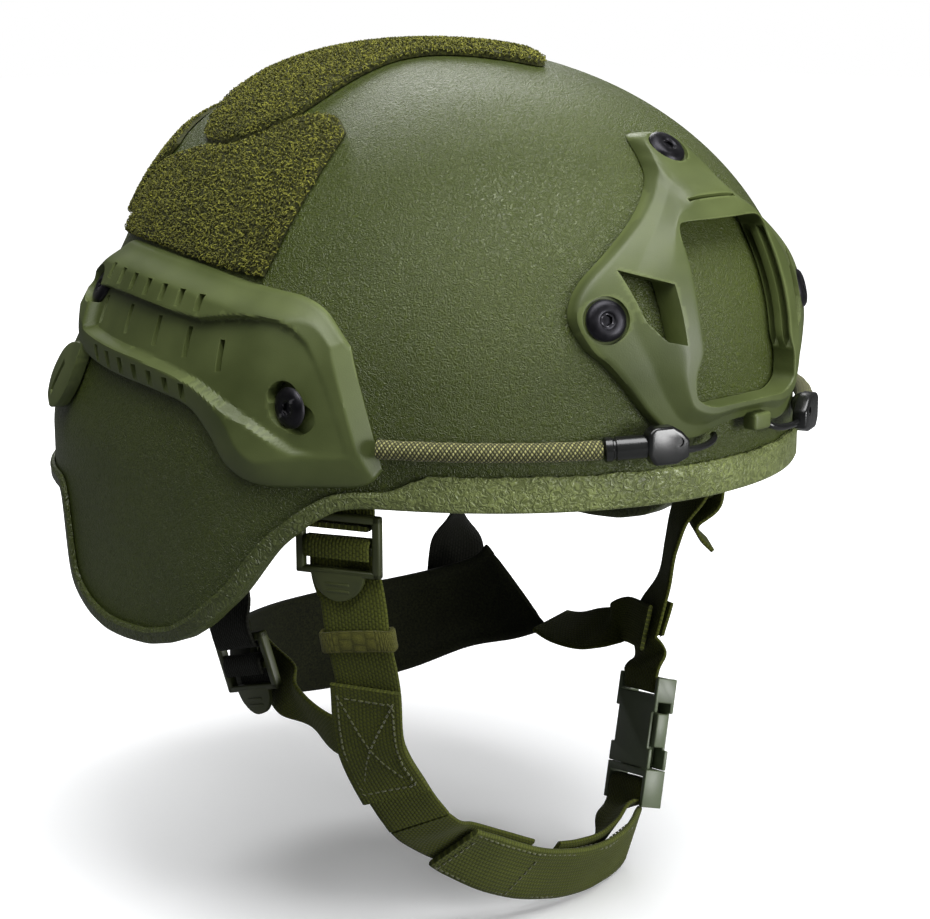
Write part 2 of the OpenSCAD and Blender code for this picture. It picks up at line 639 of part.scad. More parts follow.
// A part of a ribbon between two of its smoothed steps, shifted by lift along its own normal
module lifted_ribbon(p, across, width, thick, lift, first, last, steps = 3) {
  q = curve(p, steps);
  d = curve(across, steps);
  e = len(q) - 1;
  loft([for (i = [first : last]) let(t = unit(q[min(e, i + 1)] - q[max(0, i - 1)]),
    w = unit(d[i] - (d[i] * t) * t), n = cross(t, w), a = w * width / 2, c = q[i] + n * lift,
      b = n * thick / 2)
    [c + a + b, c - a + b, c - a - b, c + a - b]]);
}

// Front straps: over the middle bar of the lock, then a route chosen by hand down to the chin
strap_right = concat(routed(lock_right, lock_pass), shifted([[-99.8, -53, -31], [-99.6, -54.8, -38],
  [-99.3, -56.6, -50], [-95.5, -57, -67], [-88.5, -52, -92], [-78, -53, -112.5], [-68.5, -54.3, -126.5]]));
strap_right_w = concat(times(front_across, len(lock_pass) + 4),
  [[0.4, -0.92, 0.1], [0.5, -0.85, 0.2], [0.5, -0.8, 0.3]]);
left_across = [-0.68, -0.73, 0];
strap_left = concat(routed(lock_left, lock_pass),
  shifted([[96.6, -46.3, -31], [94, -42, -43], [91, -40.5, -55],
  [87, -40.5, -68], [81, -39, -80], [77.6, -38.5, -91], [75.6, -41.5, -98]]));
strap_left_w = concat(times(across_of(lock_left), len(lock_pass) + 1),
  [[-0.6, -0.8, 0], left_across, left_across,
  [-0.5, -0.86, 0], [-0.5, -0.86, 0], [-0.4, -0.9, 0.1]]);
junction_right = 33;
junction_left = 35;
// Frame of a strap at one of its smoothed steps: origin, up and across
function strap_frame(p, across, i, steps = 3) = let(q = curve(p, steps))
  [q[i], unit(q[i - 1] - q[i + 1]), unit(curve(across, steps)[i])];
module front_strap_right() {
  color(web_green) ribbon(strap_right, strap_right_w, web_w, web_t);
}
module front_strap_left() {
  color(web_green) ribbon(concat(strap_left, socket_wrap),
    concat(strap_left_w, times(across_of(buckle), len(socket_wrap))), web_w, web_t);
}

// Keeper: a band of elastic round the right front strap
module keeper_right() {
  f = strap_frame(strap_right, strap_right_w, 27);
  color(moss) place(f[0], f[1], f[2]) difference() {
    box([web_w + 4, web_t + 4.2, 7]);
    box([web_w + 0.8, web_t + 1, 8]);
  }
}

// Sewn patches over the junctions with the lower straps, and the loose end at the left lock
patch_lift = web_t + 0.7;
module junction_patch_right() {
  color(web_green) lifted_ribbon(strap_right, strap_right_w, web_w + 2, web_t, patch_lift,
    junction_right - 3, junction_right + 3);
}
module junction_patch_left() {
  color(web_green) lifted_ribbon(strap_left, strap_left_w, web_w + 1, web_t, -patch_lift,
    junction_left - 3, junction_left + 1);
}
tail_left = concat(routed(lock_left, [[3.6, -6.5], [3.3, -11], [3.3, -20]]),
  shifted([[98.8, -45.8, -44.5], [99.6, -46.8, -50], [103.4, -50.4, -55.5]]));
module strap_tail_left() {
  color(web_green) ribbon(tail_left, concat(times(across_of(lock_left), 3), times(left_across, 3)),
    web_w - 3, web_t);
}

// Rear straps: a bored plate inside the shell, then a route chosen by hand down to the nape lock
rear_off = -wall - 1.3 - web_t / 2;
rear_plate_h = 14;
function rear_end(s) = let(z = skin_normal(s * rear_bolt_a, rear_bolt_z), x = unit([0, 0, 1] - z[2] * z))
  skin(s * rear_bolt_a, rear_bolt_z) + z * rear_off - x * (rear_plate_h - 0.1);
nape_lock_r = [[-94.2, 10, -74], [-0.1, 0.3, 0.95], [0, 1, 0.3]];
nape_lock_l = [[78.9, 73.3, -101], [0.03, 0.05, 1], [0.66, -0.75, 0]];
rear_route_right = concat([rear_end(1)],
  shifted([[-98, 66, 26], [-98.5, 50, -6], [-97, 31, -30], [-96, 20, -48]]),
  routed(nape_lock_r, bar_wrap));
rear_route_left = concat([rear_end(-1)],
  shifted([[97, 76, 22], [95.5, 81.5, -8], [92.5, 83.5, -36], [89, 82, -60], [86, 79, -76]]),
  routed(nape_lock_l, bar_wrap));
rear_w_right = concat([[0.58, 0.8, 0], [0.45, 0.85, 0], [0.3, 0.95, 0.1], [0.1, 0.95, 0.2], [0, 1, 0.3]],
  times(across_of(nape_lock_r), len(bar_wrap)));
rear_w_left = concat([[0.58, -0.8, 0], [0.95, -0.2, 0], [0.85, 0.5, 0], [0.72, 0.7, 0], [0.78, 0.6, 0],
  [0.85, -0.45, 0]],
  times(across_of(nape_lock_l), len(bar_wrap)));
module rear_strap(s, route, across) {
  color(web_green) {
    difference() {
      on_skin(s * rear_bolt_a, rear_bolt_z, 0) translate([0, 0, rear_off]) union() {
        rod(web_w / 2, web_t, 64);
        translate([-rear_plate_h / 2, 0, 0]) box([rear_plate_h, web_w, web_t]);
      }
      for_rear_bolts() rod(hole_r, drill_l);
    }
    ribbon(route, across, web_w - 0.02, web_t);
  }
}
module rear_strap_right() {
  rear_strap(1, rear_route_right, rear_w_right);
}
module rear_strap_left() {
  rear_strap(-1, rear_route_left, rear_w_left);
}
module nape_lock_right() {
  lock_at(nape_lock_r);
}
module nape_lock_left() {
  lock_at(nape_lock_l);
}

// Webbing loops that hold the nape locks to the band
module nape_loop(lock) {
  color(web_green) ribbon(routed(lock, lock_pass), times(across_of(lock), len(lock_pass)), web_w - 1, web_t);
}
module nape_loop_right() {
  nape_loop(nape_lock_r);
}
module nape_loop_left() {
  nape_loop(nape_lock_l);
}

// Nape band: its upper and lower edge, chosen by hand from the left end round the back to the right end
nape_top = [[79, 54, -70], [77, 60, -76], [70, 73, -82], [55, 88, -87], [30, 99, -89], [0, 103, -90],
  [-33, 87, -86],
  [-58, 61, -79], [-77, 37, -69], [-85, 21, -61]];
nape_low = [[84, 22, -103], [83, 40, -111], [76, 62, -118], [60, 83, -129], [32, 98, -134], [0, 103, -131],
  [-33, 87, -116],
  [-58, 60, -104], [-79, 32, -94], [-88, 8, -89]];
module nape_band() {
  top = curve(nape_top, 2);
  low = curve(nape_low, 2);
  e = len(top) - 1;
  share = [0, 0.12, 0.5, 0.88, 1];
  swell = [0.35, 0.75, 1, 0.75, 0.35];
  color(foam) loft([for (i = [0 : e]) let(a = max(0, i - 1), b = min(e, i + 1),
    n = unit(cross(top[i] - low[i], top[b] + low[b] - top[a] - low[a])) * nape_t / 2)
    concat([for (k = [0 : 4]) top[i] + (low[i] - top[i]) * share[k] + n * swell[k]],
      [for (k = [4 : -1 : 0]) top[i] + (low[i] - top[i]) * share[k] - n * swell[k]])]);
}

// Lower straps: from the ends of the nape band forward to the inner side of the front straps
under_lift = web_t + 1.6;
lower_wide = concat(times(web_w - 3, 4), times(web_w - 6, 2));
end_right = strap_frame(strap_right, strap_right_w, junction_right);
end_left = strap_frame(strap_left, strap_left_w, junction_left);
lower_right = concat([[-80.3, 19.5, -77.5], [-84, 8, -80], [-87, -4, -83], [-88.7, -15, -86.5]],
  [for (x = [-15, 8]) placed(end_right, [x, under_lift, 0])]);
lower_right_w = [[0.05, 0.1, 0.98], [0.1, 0.1, 0.98], [0.15, 0.1, 0.97], [-0.45, 0.05, 0.88], end_right[1],
  end_right[1]];
lower_left = concat([[84.5, 20.5, -99], [83.8, 10, -99.5], [82.6, -4, -97], [81.8, -15, -93.5]],
  [for (x = [-15, 8]) placed(end_left, [x, -under_lift, 0])]);
lower_left_w = [[0.95, 0, 0.2], [0.9, 0, 0.4], [0.75, 0, 0.65], [0.7, 0, 0.7], end_left[1], end_left[1]];
module lower_strap_right() {
  color(web_green) ribbon(lower_right, lower_right_w, lower_wide, web_t);
}
module lower_strap_left() {
  color(web_green) ribbon(lower_left, lower_left_w, lower_wide, web_t);
}

// Buckle: the seam between its halves, its direction up along the strap and across its width
buckle_seam = [62.2, -47.8, -141.3];
buckle_up = [15, 4.5, 50];
buckle_across = [-0.37, -0.93, 0];
buckle = [buckle_seam, buckle_up, buckle_across];
web_bar_t = 4;
wrap_y = -web_bar_t / 2 - web_t / 2 - 0.35;
socket_slot = socket_l - 7.5;
socket_wrap = routed(buckle, [[wrap_y - 0.1, socket_l + 2], [wrap_y - 0.1, socket_slot + 3.6],
  [wrap_y * 0.8, socket_slot + 2.1], [wrap_y * 0.25, socket_slot + 1.7], [1.2, socket_slot + 1.8]]);
plate_t = 1.6;
mouth_gap = 0.3;
module web_slot(z, h) {
  translate([0, 0, z + h / 2]) box([web_w + 1.4, buckle_t + 2, h]);
}
module buckle_socket() {
  cavity = buckle_t - 2 * plate_t;
  block = socket_slot - 2.5;
  color(black) place(buckle_seam, buckle_up, buckle_across) {
    difference() {
      translate([0, 0, socket_l / 2]) box([buckle_w, buckle_t, socket_l]);
      translate([0, 0, block / 2 - 0.5]) box([buckle_w + 2, cavity, block + 1]);
      for (s = [-1, 1]) translate([s * buckle_w / 2, 0, block / 2 + 2]) box([5, buckle_t + 2, block - 12]);
      web_slot(socket_slot, 4);
      for (s = [-1, 1]) translate([0, s * (web_bar_t / 2 + 3), socket_l]) box([web_w + 1.4, 6, 7]);
    }
    translate([0, 0, block / 2 + 2]) box([3, cavity + 0.2, block - 3]);
  }
}
module buckle_plug() {
  color(black) place(buckle_seam, buckle_up, buckle_across) difference() {
    union() {
      translate([0, 0, -mouth_gap - plug_l / 2]) box([buckle_w, buckle_t, plug_l]);
      for (s = [-1, 1]) translate([s * prong_x, 0, -0.2]) box([prong_w, prong_t, 1]);
    }
    web_slot(-7.5, 4.2);
    for (s = [-1, 1]) translate([0, s * (web_bar_t / 2 + 3), -12]) box([web_w + 1.4, 6, 9.4]);
  }
}
// Prongs: an arm with a thumb button, which bends about its root on the plug
prong_x = 7;
prong_w = 2.8;
prong_t = buckle_t - 2 * plate_t - 0.8;
prong_root = 0.6;
module buckle_prong(s) {
  color(black) place(buckle_seam, buckle_up, buckle_across) {
    translate([s * prong_x, 0, prong_root + 11.5]) box([prong_w, prong_t, 23]);
    translate([s * (prong_x + 4.6), 0, 15.8]) box([7.8, prong_t, 13.6]);
  }
}
module buckle_prong_front() {
  buckle_prong(1);
}
module buckle_prong_rear() {
  buckle_prong(-1);
}

// Chin cup and the two straps that run into it
cup_route = [[-52, -55.5, -141], [-46, -57, -145], [-36, -60, -151], [-22, -62.5, -158], [-5, -64, -163.5],
  [12, -64.5, -166.5], [30, -62, -167.5], [43, -58, -167], [51.5, -54.5, -166]];
cup_w_dir = [[0.45, -0.75, 0.5], [0.35, -0.7, 0.6], [0.2, -0.6, 0.75], [0, -0.55, 0.85], [0, -0.5, 0.87],
  [0, -0.5, 0.87],
  [-0.1, -0.45, 0.88], [-0.15, -0.4, 0.9], [-0.2, -0.4, 0.9]];
cup_t = 2.4;
module chin_cup() {
  color(web_green) ribbon(cup_route, cup_w_dir, cup_w, cup_t);
}
chin_right = [[-68.1, -54.4, -127], [-62.5, -54.2, -132], [-54.5, -53, -136.7], [-46, -53.8, -141.6],
  [-34.5, -56.6, -147.8], [-22.5, -58.7, -154]];
chin_right_w = [[0.5, -0.8, 0.3], [0.5, -0.78, 0.38], [0.45, -0.75, 0.5], [0.35, -0.7, 0.6],
  [0.2, -0.6, 0.75],
  [0.05, -0.55, 0.85]];
module chin_strap_right() {
  color(web_green) ribbon(chin_right, chin_right_w, web_w, web_t);
}
plug_wrap = routed(buckle, [[1.2, -5.4], [wrap_y * 0.25, -5.2], [wrap_y * 0.8, -5.8], [wrap_y - 0.2, -8],
  [wrap_y - 0.8, -16]]);
chin_left = concat(plug_wrap, [[46, -49.8, -158], [34, -55.2, -162.6], [20, -60, -163.6], [4, -61.2, -162],
  [-8, -61, -159.6]]);
chin_left_w = concat(times(across_of(buckle), len(plug_wrap)), [[-0.2, -0.75, 0.55], [-0.1, -0.6, 0.75],
  [0, -0.5, 0.87], [0, -0.5, 0.87], [0, -0.5, 0.87]]);
module chin_strap_left() {
  color(web_green) ribbon(chin_left, chin_left_w, web_w, web_t);
}

// Elastic cords along the brim, from the rails to a hook each
cord_a = 54.8;
cord_end_a = 23.5;
cord_off = 1 + bungee_d / 2;
// Tube of radius r along points p, whose rings start beside the direction up
function hoop(p, t, r, sides, up) = let(u = unit(cross(t, up)), v = cross(u, unit(t)))
  [for (k = [0 : sides - 1]) let(a = k * 360 / sides) p + (u * cos(a) + v * sin(a)) * r];
module tube(p, r, sides, up = [0, 0, 1]) {
  e = len(p) - 1;
  loft([for (i = [0 : e]) hoop(p[i], p[min(e, i + 1)] - p[max(0, i - 1)], r, sides, up)]);
}
module bungee_right() {
  n = 10;
  color(moss) tube([for (i = [0 : n]) skin(cord_a + (cord_end_a - cord_a) * i / n, bungee_z, cord_off)],
    bungee_d / 2, 10);
}
module bungee_left() {
  left_side() bungee_right();
}

// Hook at the end of each cord: a sleeve, a block in front of the shroud's rim and a wire under its lower
// edge
hook_a = 15.3;
hook_off = 9.6;
wire_r = 1.2;
block_side = [[-8, -4.5], [-8, 1.5], [-5, 4.5], [-1.5, 6.5], [5.5, 6.5], [7.6, 4.8], [7.6, -3], [5, -6.5],
  [-3, -6.5]];
wire_route = [[13.5, 20.4, 9.4], [11.8, 20, 9], [10.2, 19.9, 8.4], [8.6, 20, 7.6], [7.2, 20.6, 6.8],
  [6.2, 21.6, 5.8],
  [5.6, 22.4, 4]];
module bungee_hook_right() {
  from = skin(cord_end_a - 0.4, bungee_z, cord_off);
  middle = skin(hook_a, bungee_z + 1.2, hook_off);
  color(black) {
    place(from, middle - from, [0, 0, 1]) cylinder(r = bungee_d / 2 + 1, h = norm(middle - from) - 6,
      $fn = 48);
    place(middle, skin_normal(hook_a, bungee_z), [0, 0, 1]) rotate([0, 0, 90]) linear_extrude(5.4,
      center = true)
      polygon([for (p = block_side) [-p[0], p[1]]]);
    tube([for (w = curve(wire_route, 2)) skin(w[0], w[1], w[2])], wire_r, 8);
  }
}
module bungee_hook_left() {
  left_side() bungee_hook_right();
}

// Inner pads: lists of [name, middle azimuth, half width, low, high], and the round one under the crown
patch_t = 1;
patch_rings = [0.6, 0.4, 0.2];
pad_gap = 0.35;
patch_off = -wall - 2 * pad_gap;
pad_back = patch_off - patch_t - pad_gap;
front_pad = [0, 19, 20, 76];
rear_pad = [180, 29, 18, 78];
side_front_pad = [44, 13.5, 22, 78];
side_rear_pad = [93, 17, 24, 80];
// Rounded square whose sides draw in between its corners
function squircle(q, s) = let(r = s * (1 - 0.035 * (1 + cos(4 * q))) / pow(pow(cos(q), 4) + pow(sin(q), 4),
  0.25))
  [r * cos(q), r * sin(q)];
function over(pad, u, off) = skin(pad[0] + pad[1] * u[0], (pad[2] + pad[3]) / 2
  + (pad[3] - pad[2]) / 2 * u[1], off);
pad_points = 24;
pad_rings = [1, 0.96, 0.86, 0.68, 0.42];
function swell(s) = 0.45 + 0.55 * pow(1 - pow(s, 3.2), 0.6);
module wall_pad(pad) {
  color(foam) capped([for (s = pad_rings) [for (j = [0 : pad_points - 1])
      over(pad, squircle(j * 360 / pad_points, s), pad_back - pad_t * swell(s))]],
        over(pad, [0, 0], pad_back - pad_t),
    [for (s = [0.97, 0.6]) [for (j = [0 : pad_points - 1]) over(pad, squircle(j * 360 / pad_points, s),
      pad_back)]],
    over(pad, [0, 0], pad_back));
}
function over_crown(j, s, off) = let(q = j * 360 / pad_points, r = crown_pad_r * s) crown(r * cos(q),
  r * sin(q), off);
module pad_crown() {
  color(foam) capped([for (s = pad_rings) [for (j = [0 : pad_points - 1])
      over_crown(j, s * (1 - 0.02 * (1 + cos(5 * j * 360 / pad_points))), pad_back - pad_t * swell(s))]],
    crown(0, 0, pad_back - pad_t),
      [for (s = [0.95, 0.5]) [for (j = [0 : pad_points - 1]) over_crown(j, s, pad_back)]],
    crown(0, 0, pad_back));
}
module pad_front() {
  wall_pad(front_pad);
}
module pad_rear() {
  wall_pad(rear_pad);
}
module pad_right_front() {
  wall_pad(side_front_pad);
}
module pad_right_rear() {
  wall_pad(side_rear_pad);
}
module pad_left_front() {
  left_side() pad_right_front();
}
module pad_left_rear() {
  left_side() pad_right_rear();
}
module patch_on(pad) {
  function ring(off) = [for (s = patch_rings) [for (j = [0 : 15]) over(pad, squircle(j * 22.5, s), off)]];
  capped(ring(patch_off), over(pad, [0, 0], patch_off), ring(patch_off - patch_t),
    over(pad, [0, 0], patch_off - patch_t));
}
module hook_patches() {
  function ring(off) = [for (s = patch_rings) [for (j = [0 : 15])
    crown(crown_pad_r * s * cos(j * 22.5), crown_pad_r * s * sin(j * 22.5), off)]];
  color(black) {
    capped(ring(patch_off), crown(0, 0, patch_off), ring(patch_off - patch_t),
      crown(0, 0, patch_off - patch_t));
    for (pad = [front_pad, rear_pad, side_front_pad, side_rear_pad]) patch_on(pad);
    left_side() for (pad = [side_front_pad, side_rear_pad]) patch_on(pad);
  }
}

shell();
edge_trim();
crown_loop_panel();
side_loop_panel_right();
side_loop_panel_left();
rear_loop_panel();
shroud();
shroud_screws();
shroud_nuts();
rail_right();
rail_left();
front_bolts();
front_nuts();
rear_bolts();
rear_nuts();
rear_strap_right();
rear_strap_left();
nape_lock_right();
nape_lock_left();
nape_loop_right();
nape_loop_left();
nape_band();
pad_crown();
pad_front();
pad_rear();
pad_right_front();
pad_right_rear();
pad_left_front();
pad_left_rear();
hook_patches();
front_tab_right();
front_tab_left();
front_lock_right();
front_lock_left();
front_strap_right();
front_strap_left();
keeper_right();
lower_strap_right();
lower_strap_left();
junction_patch_right();
junction_patch_left();
strap_tail_left();
buckle_socket();
buckle_plug();
buckle_prong_front();
buckle_prong_rear();
chin_strap_right();
chin_strap_left();
chin_cup();
bungee_right();
bungee_left();
bungee_hook_right();
bungee_hook_left();
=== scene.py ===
# %% [markdown]
# # A combat helmet with rails, a front shroud and a four strap chin harness
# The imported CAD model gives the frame: where each solid is, and which body it moves with. This lesson
# dresses that frame. Each step first says what the piece is on the real helmet, and then builds it.
# Lengths on the helmet are written in millimetres, as on a drawing, and turned to metres when a mesh is
# made. Lamps, camera and floor are placed in metres.

# %% Load the frame
import math

import bmesh
import bpy
import numpy as np
from mathutils import Matrix, Vector


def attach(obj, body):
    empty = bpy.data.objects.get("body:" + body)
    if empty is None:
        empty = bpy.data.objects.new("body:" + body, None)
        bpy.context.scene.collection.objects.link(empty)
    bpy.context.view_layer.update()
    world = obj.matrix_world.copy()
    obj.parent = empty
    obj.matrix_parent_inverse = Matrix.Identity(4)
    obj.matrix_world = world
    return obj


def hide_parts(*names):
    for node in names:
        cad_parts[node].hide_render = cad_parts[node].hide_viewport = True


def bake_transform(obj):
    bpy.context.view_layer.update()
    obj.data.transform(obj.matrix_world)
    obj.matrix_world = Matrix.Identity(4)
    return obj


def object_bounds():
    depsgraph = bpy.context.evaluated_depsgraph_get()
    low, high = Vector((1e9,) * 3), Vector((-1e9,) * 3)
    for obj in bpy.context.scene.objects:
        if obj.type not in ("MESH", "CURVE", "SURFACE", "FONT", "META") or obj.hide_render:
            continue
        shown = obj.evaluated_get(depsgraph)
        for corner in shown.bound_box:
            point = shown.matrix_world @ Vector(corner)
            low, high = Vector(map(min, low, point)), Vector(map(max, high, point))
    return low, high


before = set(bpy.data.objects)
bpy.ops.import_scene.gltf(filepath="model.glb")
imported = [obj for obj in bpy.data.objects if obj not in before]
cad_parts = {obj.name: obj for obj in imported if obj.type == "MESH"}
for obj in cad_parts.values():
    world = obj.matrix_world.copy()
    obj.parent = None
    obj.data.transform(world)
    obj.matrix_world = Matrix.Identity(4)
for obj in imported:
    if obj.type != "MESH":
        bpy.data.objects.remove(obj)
cad_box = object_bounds()
MM = 0.001
print("CAD box", [round(v, 4) for corner in cad_box for v in corner])


def linked(name, data):
    """A new object in the scene."""
    made = bpy.data.objects.new(name, data)
    bpy.context.scene.collection.objects.link(made)
    return made



# %% [markdown]
# ## Camera and light
# The photograph looks at the wearer's right front corner from a little above, with a long lens. The
# camera's place was worked out from points that are known on the shell. The light is that of a small
# studio: a big soft box above and ahead, smaller ones at both sides and behind, and a white paper
# sweep. The room lights the helmet less than it shows to the camera, so that the paint keeps its depth
# against the white.

# %% Camera
SENSOR_MM, LENS_MM, FARTHEST_M, CAMERA_PLACE = 36, 84.12, 20, (-0.58645, -0.58829, 0.17468)
camera_data = bpy.data.cameras.new("camera")
camera_data.sensor_width, camera_data.lens, camera_data.clip_end = SENSOR_MM, LENS_MM, FARTHEST_M
camera = linked("camera", camera_data)
camera_right = Vector((0.7014, -0.7128, -0.0018)).normalized()
camera_back = Vector((-0.6954, -0.6848, 0.2178)).normalized()
camera_up = camera_back.cross(camera_right).normalized()
turned = Matrix((camera_right, camera_up, camera_back)).transposed().to_4x4()
camera.matrix_world = Matrix.Translation(CAMERA_PLACE) @ turned
bpy.context.scene.camera = camera


# %% Lights, floor and room
def soft_box(name, place, aim, size, watts):
    data = bpy.data.lights.new(name, "AREA")
    data.shape = "RECTANGLE"
    data.size, data.size_y = size
    data.energy = watts
    back = (Vector(place) - Vector(aim)).normalized()
    turn = back.to_track_quat("Z", "Y").to_matrix().to_4x4()
    linked(name, data).matrix_world = Matrix.Translation(place) @ turn


ROOM_ON_HELMET, ROOM_IN_VIEW = 0.13, 1.0
middle = (0, -0.02, 0.03)
soft_box("light_top", (-0.1, -0.45, 1.2), middle, (1.1, 0.8), 25)
soft_box("light_left", (-0.8, -0.2, 1.0), middle, (0.5, 0.6), 4.5)
soft_box("light_right", (0.2, -1.3, 0.12), middle, (0.5, 0.5), 14)
soft_box("light_back", (0.7, 0.9, 0.9), middle, (0.8, 0.5), 8)
world = bpy.data.worlds.new("white_room")
bpy.context.scene.world = world
world.use_nodes = True
seen_by = world.node_tree.nodes.new("ShaderNodeLightPath").outputs["Is Camera Ray"]
room_light = world.node_tree.nodes.new("ShaderNodeMapRange")
room_light.inputs["To Min"].default_value = ROOM_ON_HELMET
room_light.inputs["To Max"].default_value = ROOM_IN_VIEW
world.node_tree.links.new(seen_by, room_light.inputs["Value"])
room = world.node_tree.nodes["Background"]
room.inputs["Color"].default_value = (1, 1, 1, 1)
world.node_tree.links.new(room_light.outputs[0], room.inputs["Strength"])
bpy.context.scene.view_settings.view_transform = "Standard"


# %% [markdown]
# ## Tools for finishes
# A colour is written as a paint code, the way a designer picks it, and shaders want it linear. One
# small function adds a shader node with its settings and its links, so each finish below reads like
# a recipe.

# %% Colours and nodes
def linear(code):
    shares = [int(code[i:i + 2], 16) / 255 for i in (1, 3, 5)]
    return [s / 12.92 if s <= 0.04045 else ((s + 0.055) / 1.055) ** 2.4 for s in shares] + [1]


def add(tree, kind, inputs=(), **settings):
    made = tree.nodes.new(kind)
    for name, value in settings.items():
        setattr(made, name, value)
    for key, value in dict(inputs).items():
        if isinstance(value, bpy.types.NodeSocket):
            tree.links.new(value, made.inputs[key])
        else:
            made.inputs[key].default_value = value
    return made


def start_finish(name, **fixed):
    """A material with its shader and output, and the values that are the same all over it."""
    material = bpy.data.materials.new(name)
    material.use_nodes = True
    tree = material.node_tree
    tree.nodes.clear()
    shader = add(tree, "ShaderNodeBsdfPrincipled")
    for key, value in fixed.items():
        shader.inputs[key.replace("_", " ").title().replace("Ior", "IOR")].default_value = value
    add(tree, "ShaderNodeOutputMaterial", {"Surface": shader.outputs[0]})
    return material, tree, shader


def shown(tree, shader, colour, roughness=None):
    """Links what a finish shows: its colour, and its roughness where that varies."""
    tree.links.new(colour, shader.inputs["Base Color"])
    if roughness is not None:
        tree.links.new(roughness, shader.inputs["Roughness"])


def mixed(tree, share, first, second):
    """Colour between two paint codes or sockets."""
    made = add(tree, "ShaderNodeMix", {0: share}, data_type="RGBA")
    for key, value in ((6, first), (7, second)):
        if isinstance(value, str):
            made.inputs[key].default_value = linear(value)
        else:
            tree.links.new(value, made.inputs[key])
    return made.outputs[2]


def grains_of(tree, millimetres, detail=2.0, distortion=0.0):
    """Soft random grains of a real size, on the piece's own coordinates."""
    here = add(tree, "ShaderNodeTexCoord").outputs["Object"]
    return add(tree, "ShaderNodeTexNoise", {"Vector": here, "Scale": 1 / (millimetres * MM),
        "Detail": detail, "Distortion": distortion}).outputs["Fac"]


def spread(tree, value, low, high, to_low=0.0, to_high=1.0):
    made = add(tree, "ShaderNodeMapRange", {"Value": value, "From Min": low, "From Max": high,
        "To Min": to_low, "To Max": to_high})
    return made.outputs[0]


def maths(tree, operation, first, second=0.0):
    return add(tree, "ShaderNodeMath", {0: first, 1: second}, operation=operation).outputs[0]


def humps(tree, value):
    """One round hump for each whole step of a value."""
    return maths(tree, "SINE", maths(tree, "MULTIPLY", maths(tree, "FRACT", value), math.pi))


def bumped(tree, shader, height, millimetres, strength=1.0, under=None):
    """Turns a height between 0 and 1 into dents of that depth."""
    inputs = {"Height": height, "Distance": millimetres * MM, "Strength": strength}
    if under is not None:
        inputs["Normal"] = under
    made = add(tree, "ShaderNodeBump", inputs)
    tree.links.new(made.outputs[0], shader.inputs["Normal"])
    return made.outputs[0]


# %% [markdown]
# ## Finishes
# Spray paint over aramid: grit in the paint makes short worm shaped wrinkles, little over 1 mm long, and
# the paint itself keeps a low sheen. The crests of the wrinkles are painted paler, a painted highlight.
# The same paint covers the rubber edge, where it is rougher, and there it is painted paler along the
# brim and darker at the ear: painted light and painted shade.

# %% Textured paint
# Painted light on the edge fades to painted shade between these places along the helmet, in metres
BRIM_FROM, BRIM_TO = -0.085, -0.045


def textured_paint(name, dark, light, worm, depth, roughness, painted_light=(1, 1)):
    material, tree, shader = start_finish(name, ior=1.48, specular_ior_level=0.45)
    worms = grains_of(tree, worm, detail=2.5, distortion=1.6)
    ridges = spread(tree, worms, 0.36, 0.66)
    grit = grains_of(tree, 0.7, detail=1.0)
    cloudy = grains_of(tree, 60, detail=2.0)
    # The crests of the wrinkles are painted paler: a painted highlight
    tone = maths(tree, "MULTIPLY_ADD", ridges, 0.45)
    tone.node.inputs[2].default_value = 0.1
    shade = maths(tree, "MULTIPLY_ADD", cloudy, 0.5)
    tree.links.new(tone, shade.node.inputs[2])
    # Painted light and shade: the light colour's share is scaled along the helmet, by the first value at
    # the brim and by the second behind it
    here = add(tree, "ShaderNodeTexCoord").outputs["Object"]
    ahead = add(tree, "ShaderNodeSeparateXYZ", {0: here}).outputs[1]
    shade = maths(tree, "MULTIPLY", shade, spread(tree, ahead, BRIM_FROM, BRIM_TO, *painted_light))
    shown(tree, shader, mixed(tree, shade, dark, light),
        spread(tree, worms, 0.3, 0.7, roughness + 0.1, roughness - 0.06))
    first = bumped(tree, shader, grit, 0.08, 0.6)
    bumped(tree, shader, ridges, depth, 1.0, first)
    return material


shell_paint = textured_paint("sprayed_textured_paint", "#2a330c", "#454f1b", 1.2, 0.3, 0.38)
# The edge is painted paler at the brim and darker at the ear: painted light and painted shade
trim_paint = textured_paint("painted_rubber_edge", "#2d3510", "#7a844e", 2.4, 0.42, 0.34, (1.25, 0.3))

# %% [markdown]
# Glass filled nylon, injection moulded and left matte: the mould's fine spark texture shows as a
# grain of about half a millimetre. Sharp edges are painted a little paler: a painted highlight.


# %% Moulded plastic
def moulded(name, dark, light, grain, depth, roughness, shine=0.5):
    material, tree, shader = start_finish(name, specular_ior_level=shine)
    fine = grains_of(tree, grain, detail=2.0)
    cloudy = grains_of(tree, 25, detail=3.0)
    pointed = add(tree, "ShaderNodeNewGeometry").outputs["Pointiness"]
    # Painted highlight: sharp edges, found by pointiness, are painted paler
    painted_light = spread(tree, pointed, 0.52, 0.6, 0.0, 0.5)
    shade = maths(tree, "ADD", spread(tree, cloudy, 0.3, 0.7, 0.0, 0.6), painted_light)
    shown(tree, shader, mixed(tree, shade, dark, light),
        spread(tree, cloudy, 0.3, 0.7, roughness - 0.05, roughness + 0.06))
    bumped(tree, shader, fine, depth, 0.7)
    return material


moulded_green = moulded("moulded_olive_nylon", "#3b441e", "#566034", 0.45, 0.05, 0.5, 0.42)
black_nylon = moulded("moulded_black_nylon", "#262b13", "#454b28", 0.4, 0.04, 0.44, 0.4)
black_gloss = moulded("glossy_black_moulding", "#0b0b0b", "#191a19", 0.6, 0.01, 0.22)
buckle_grey = moulded("moulded_grey_green_acetal", "#4c553f", "#69745a", 0.5, 0.03, 0.42)


# %% [markdown]
# Black oxide on steel screws is a thin dark skin, satin, with the metal showing through where a
# driver has turned it. It is a metal with a low base colour.

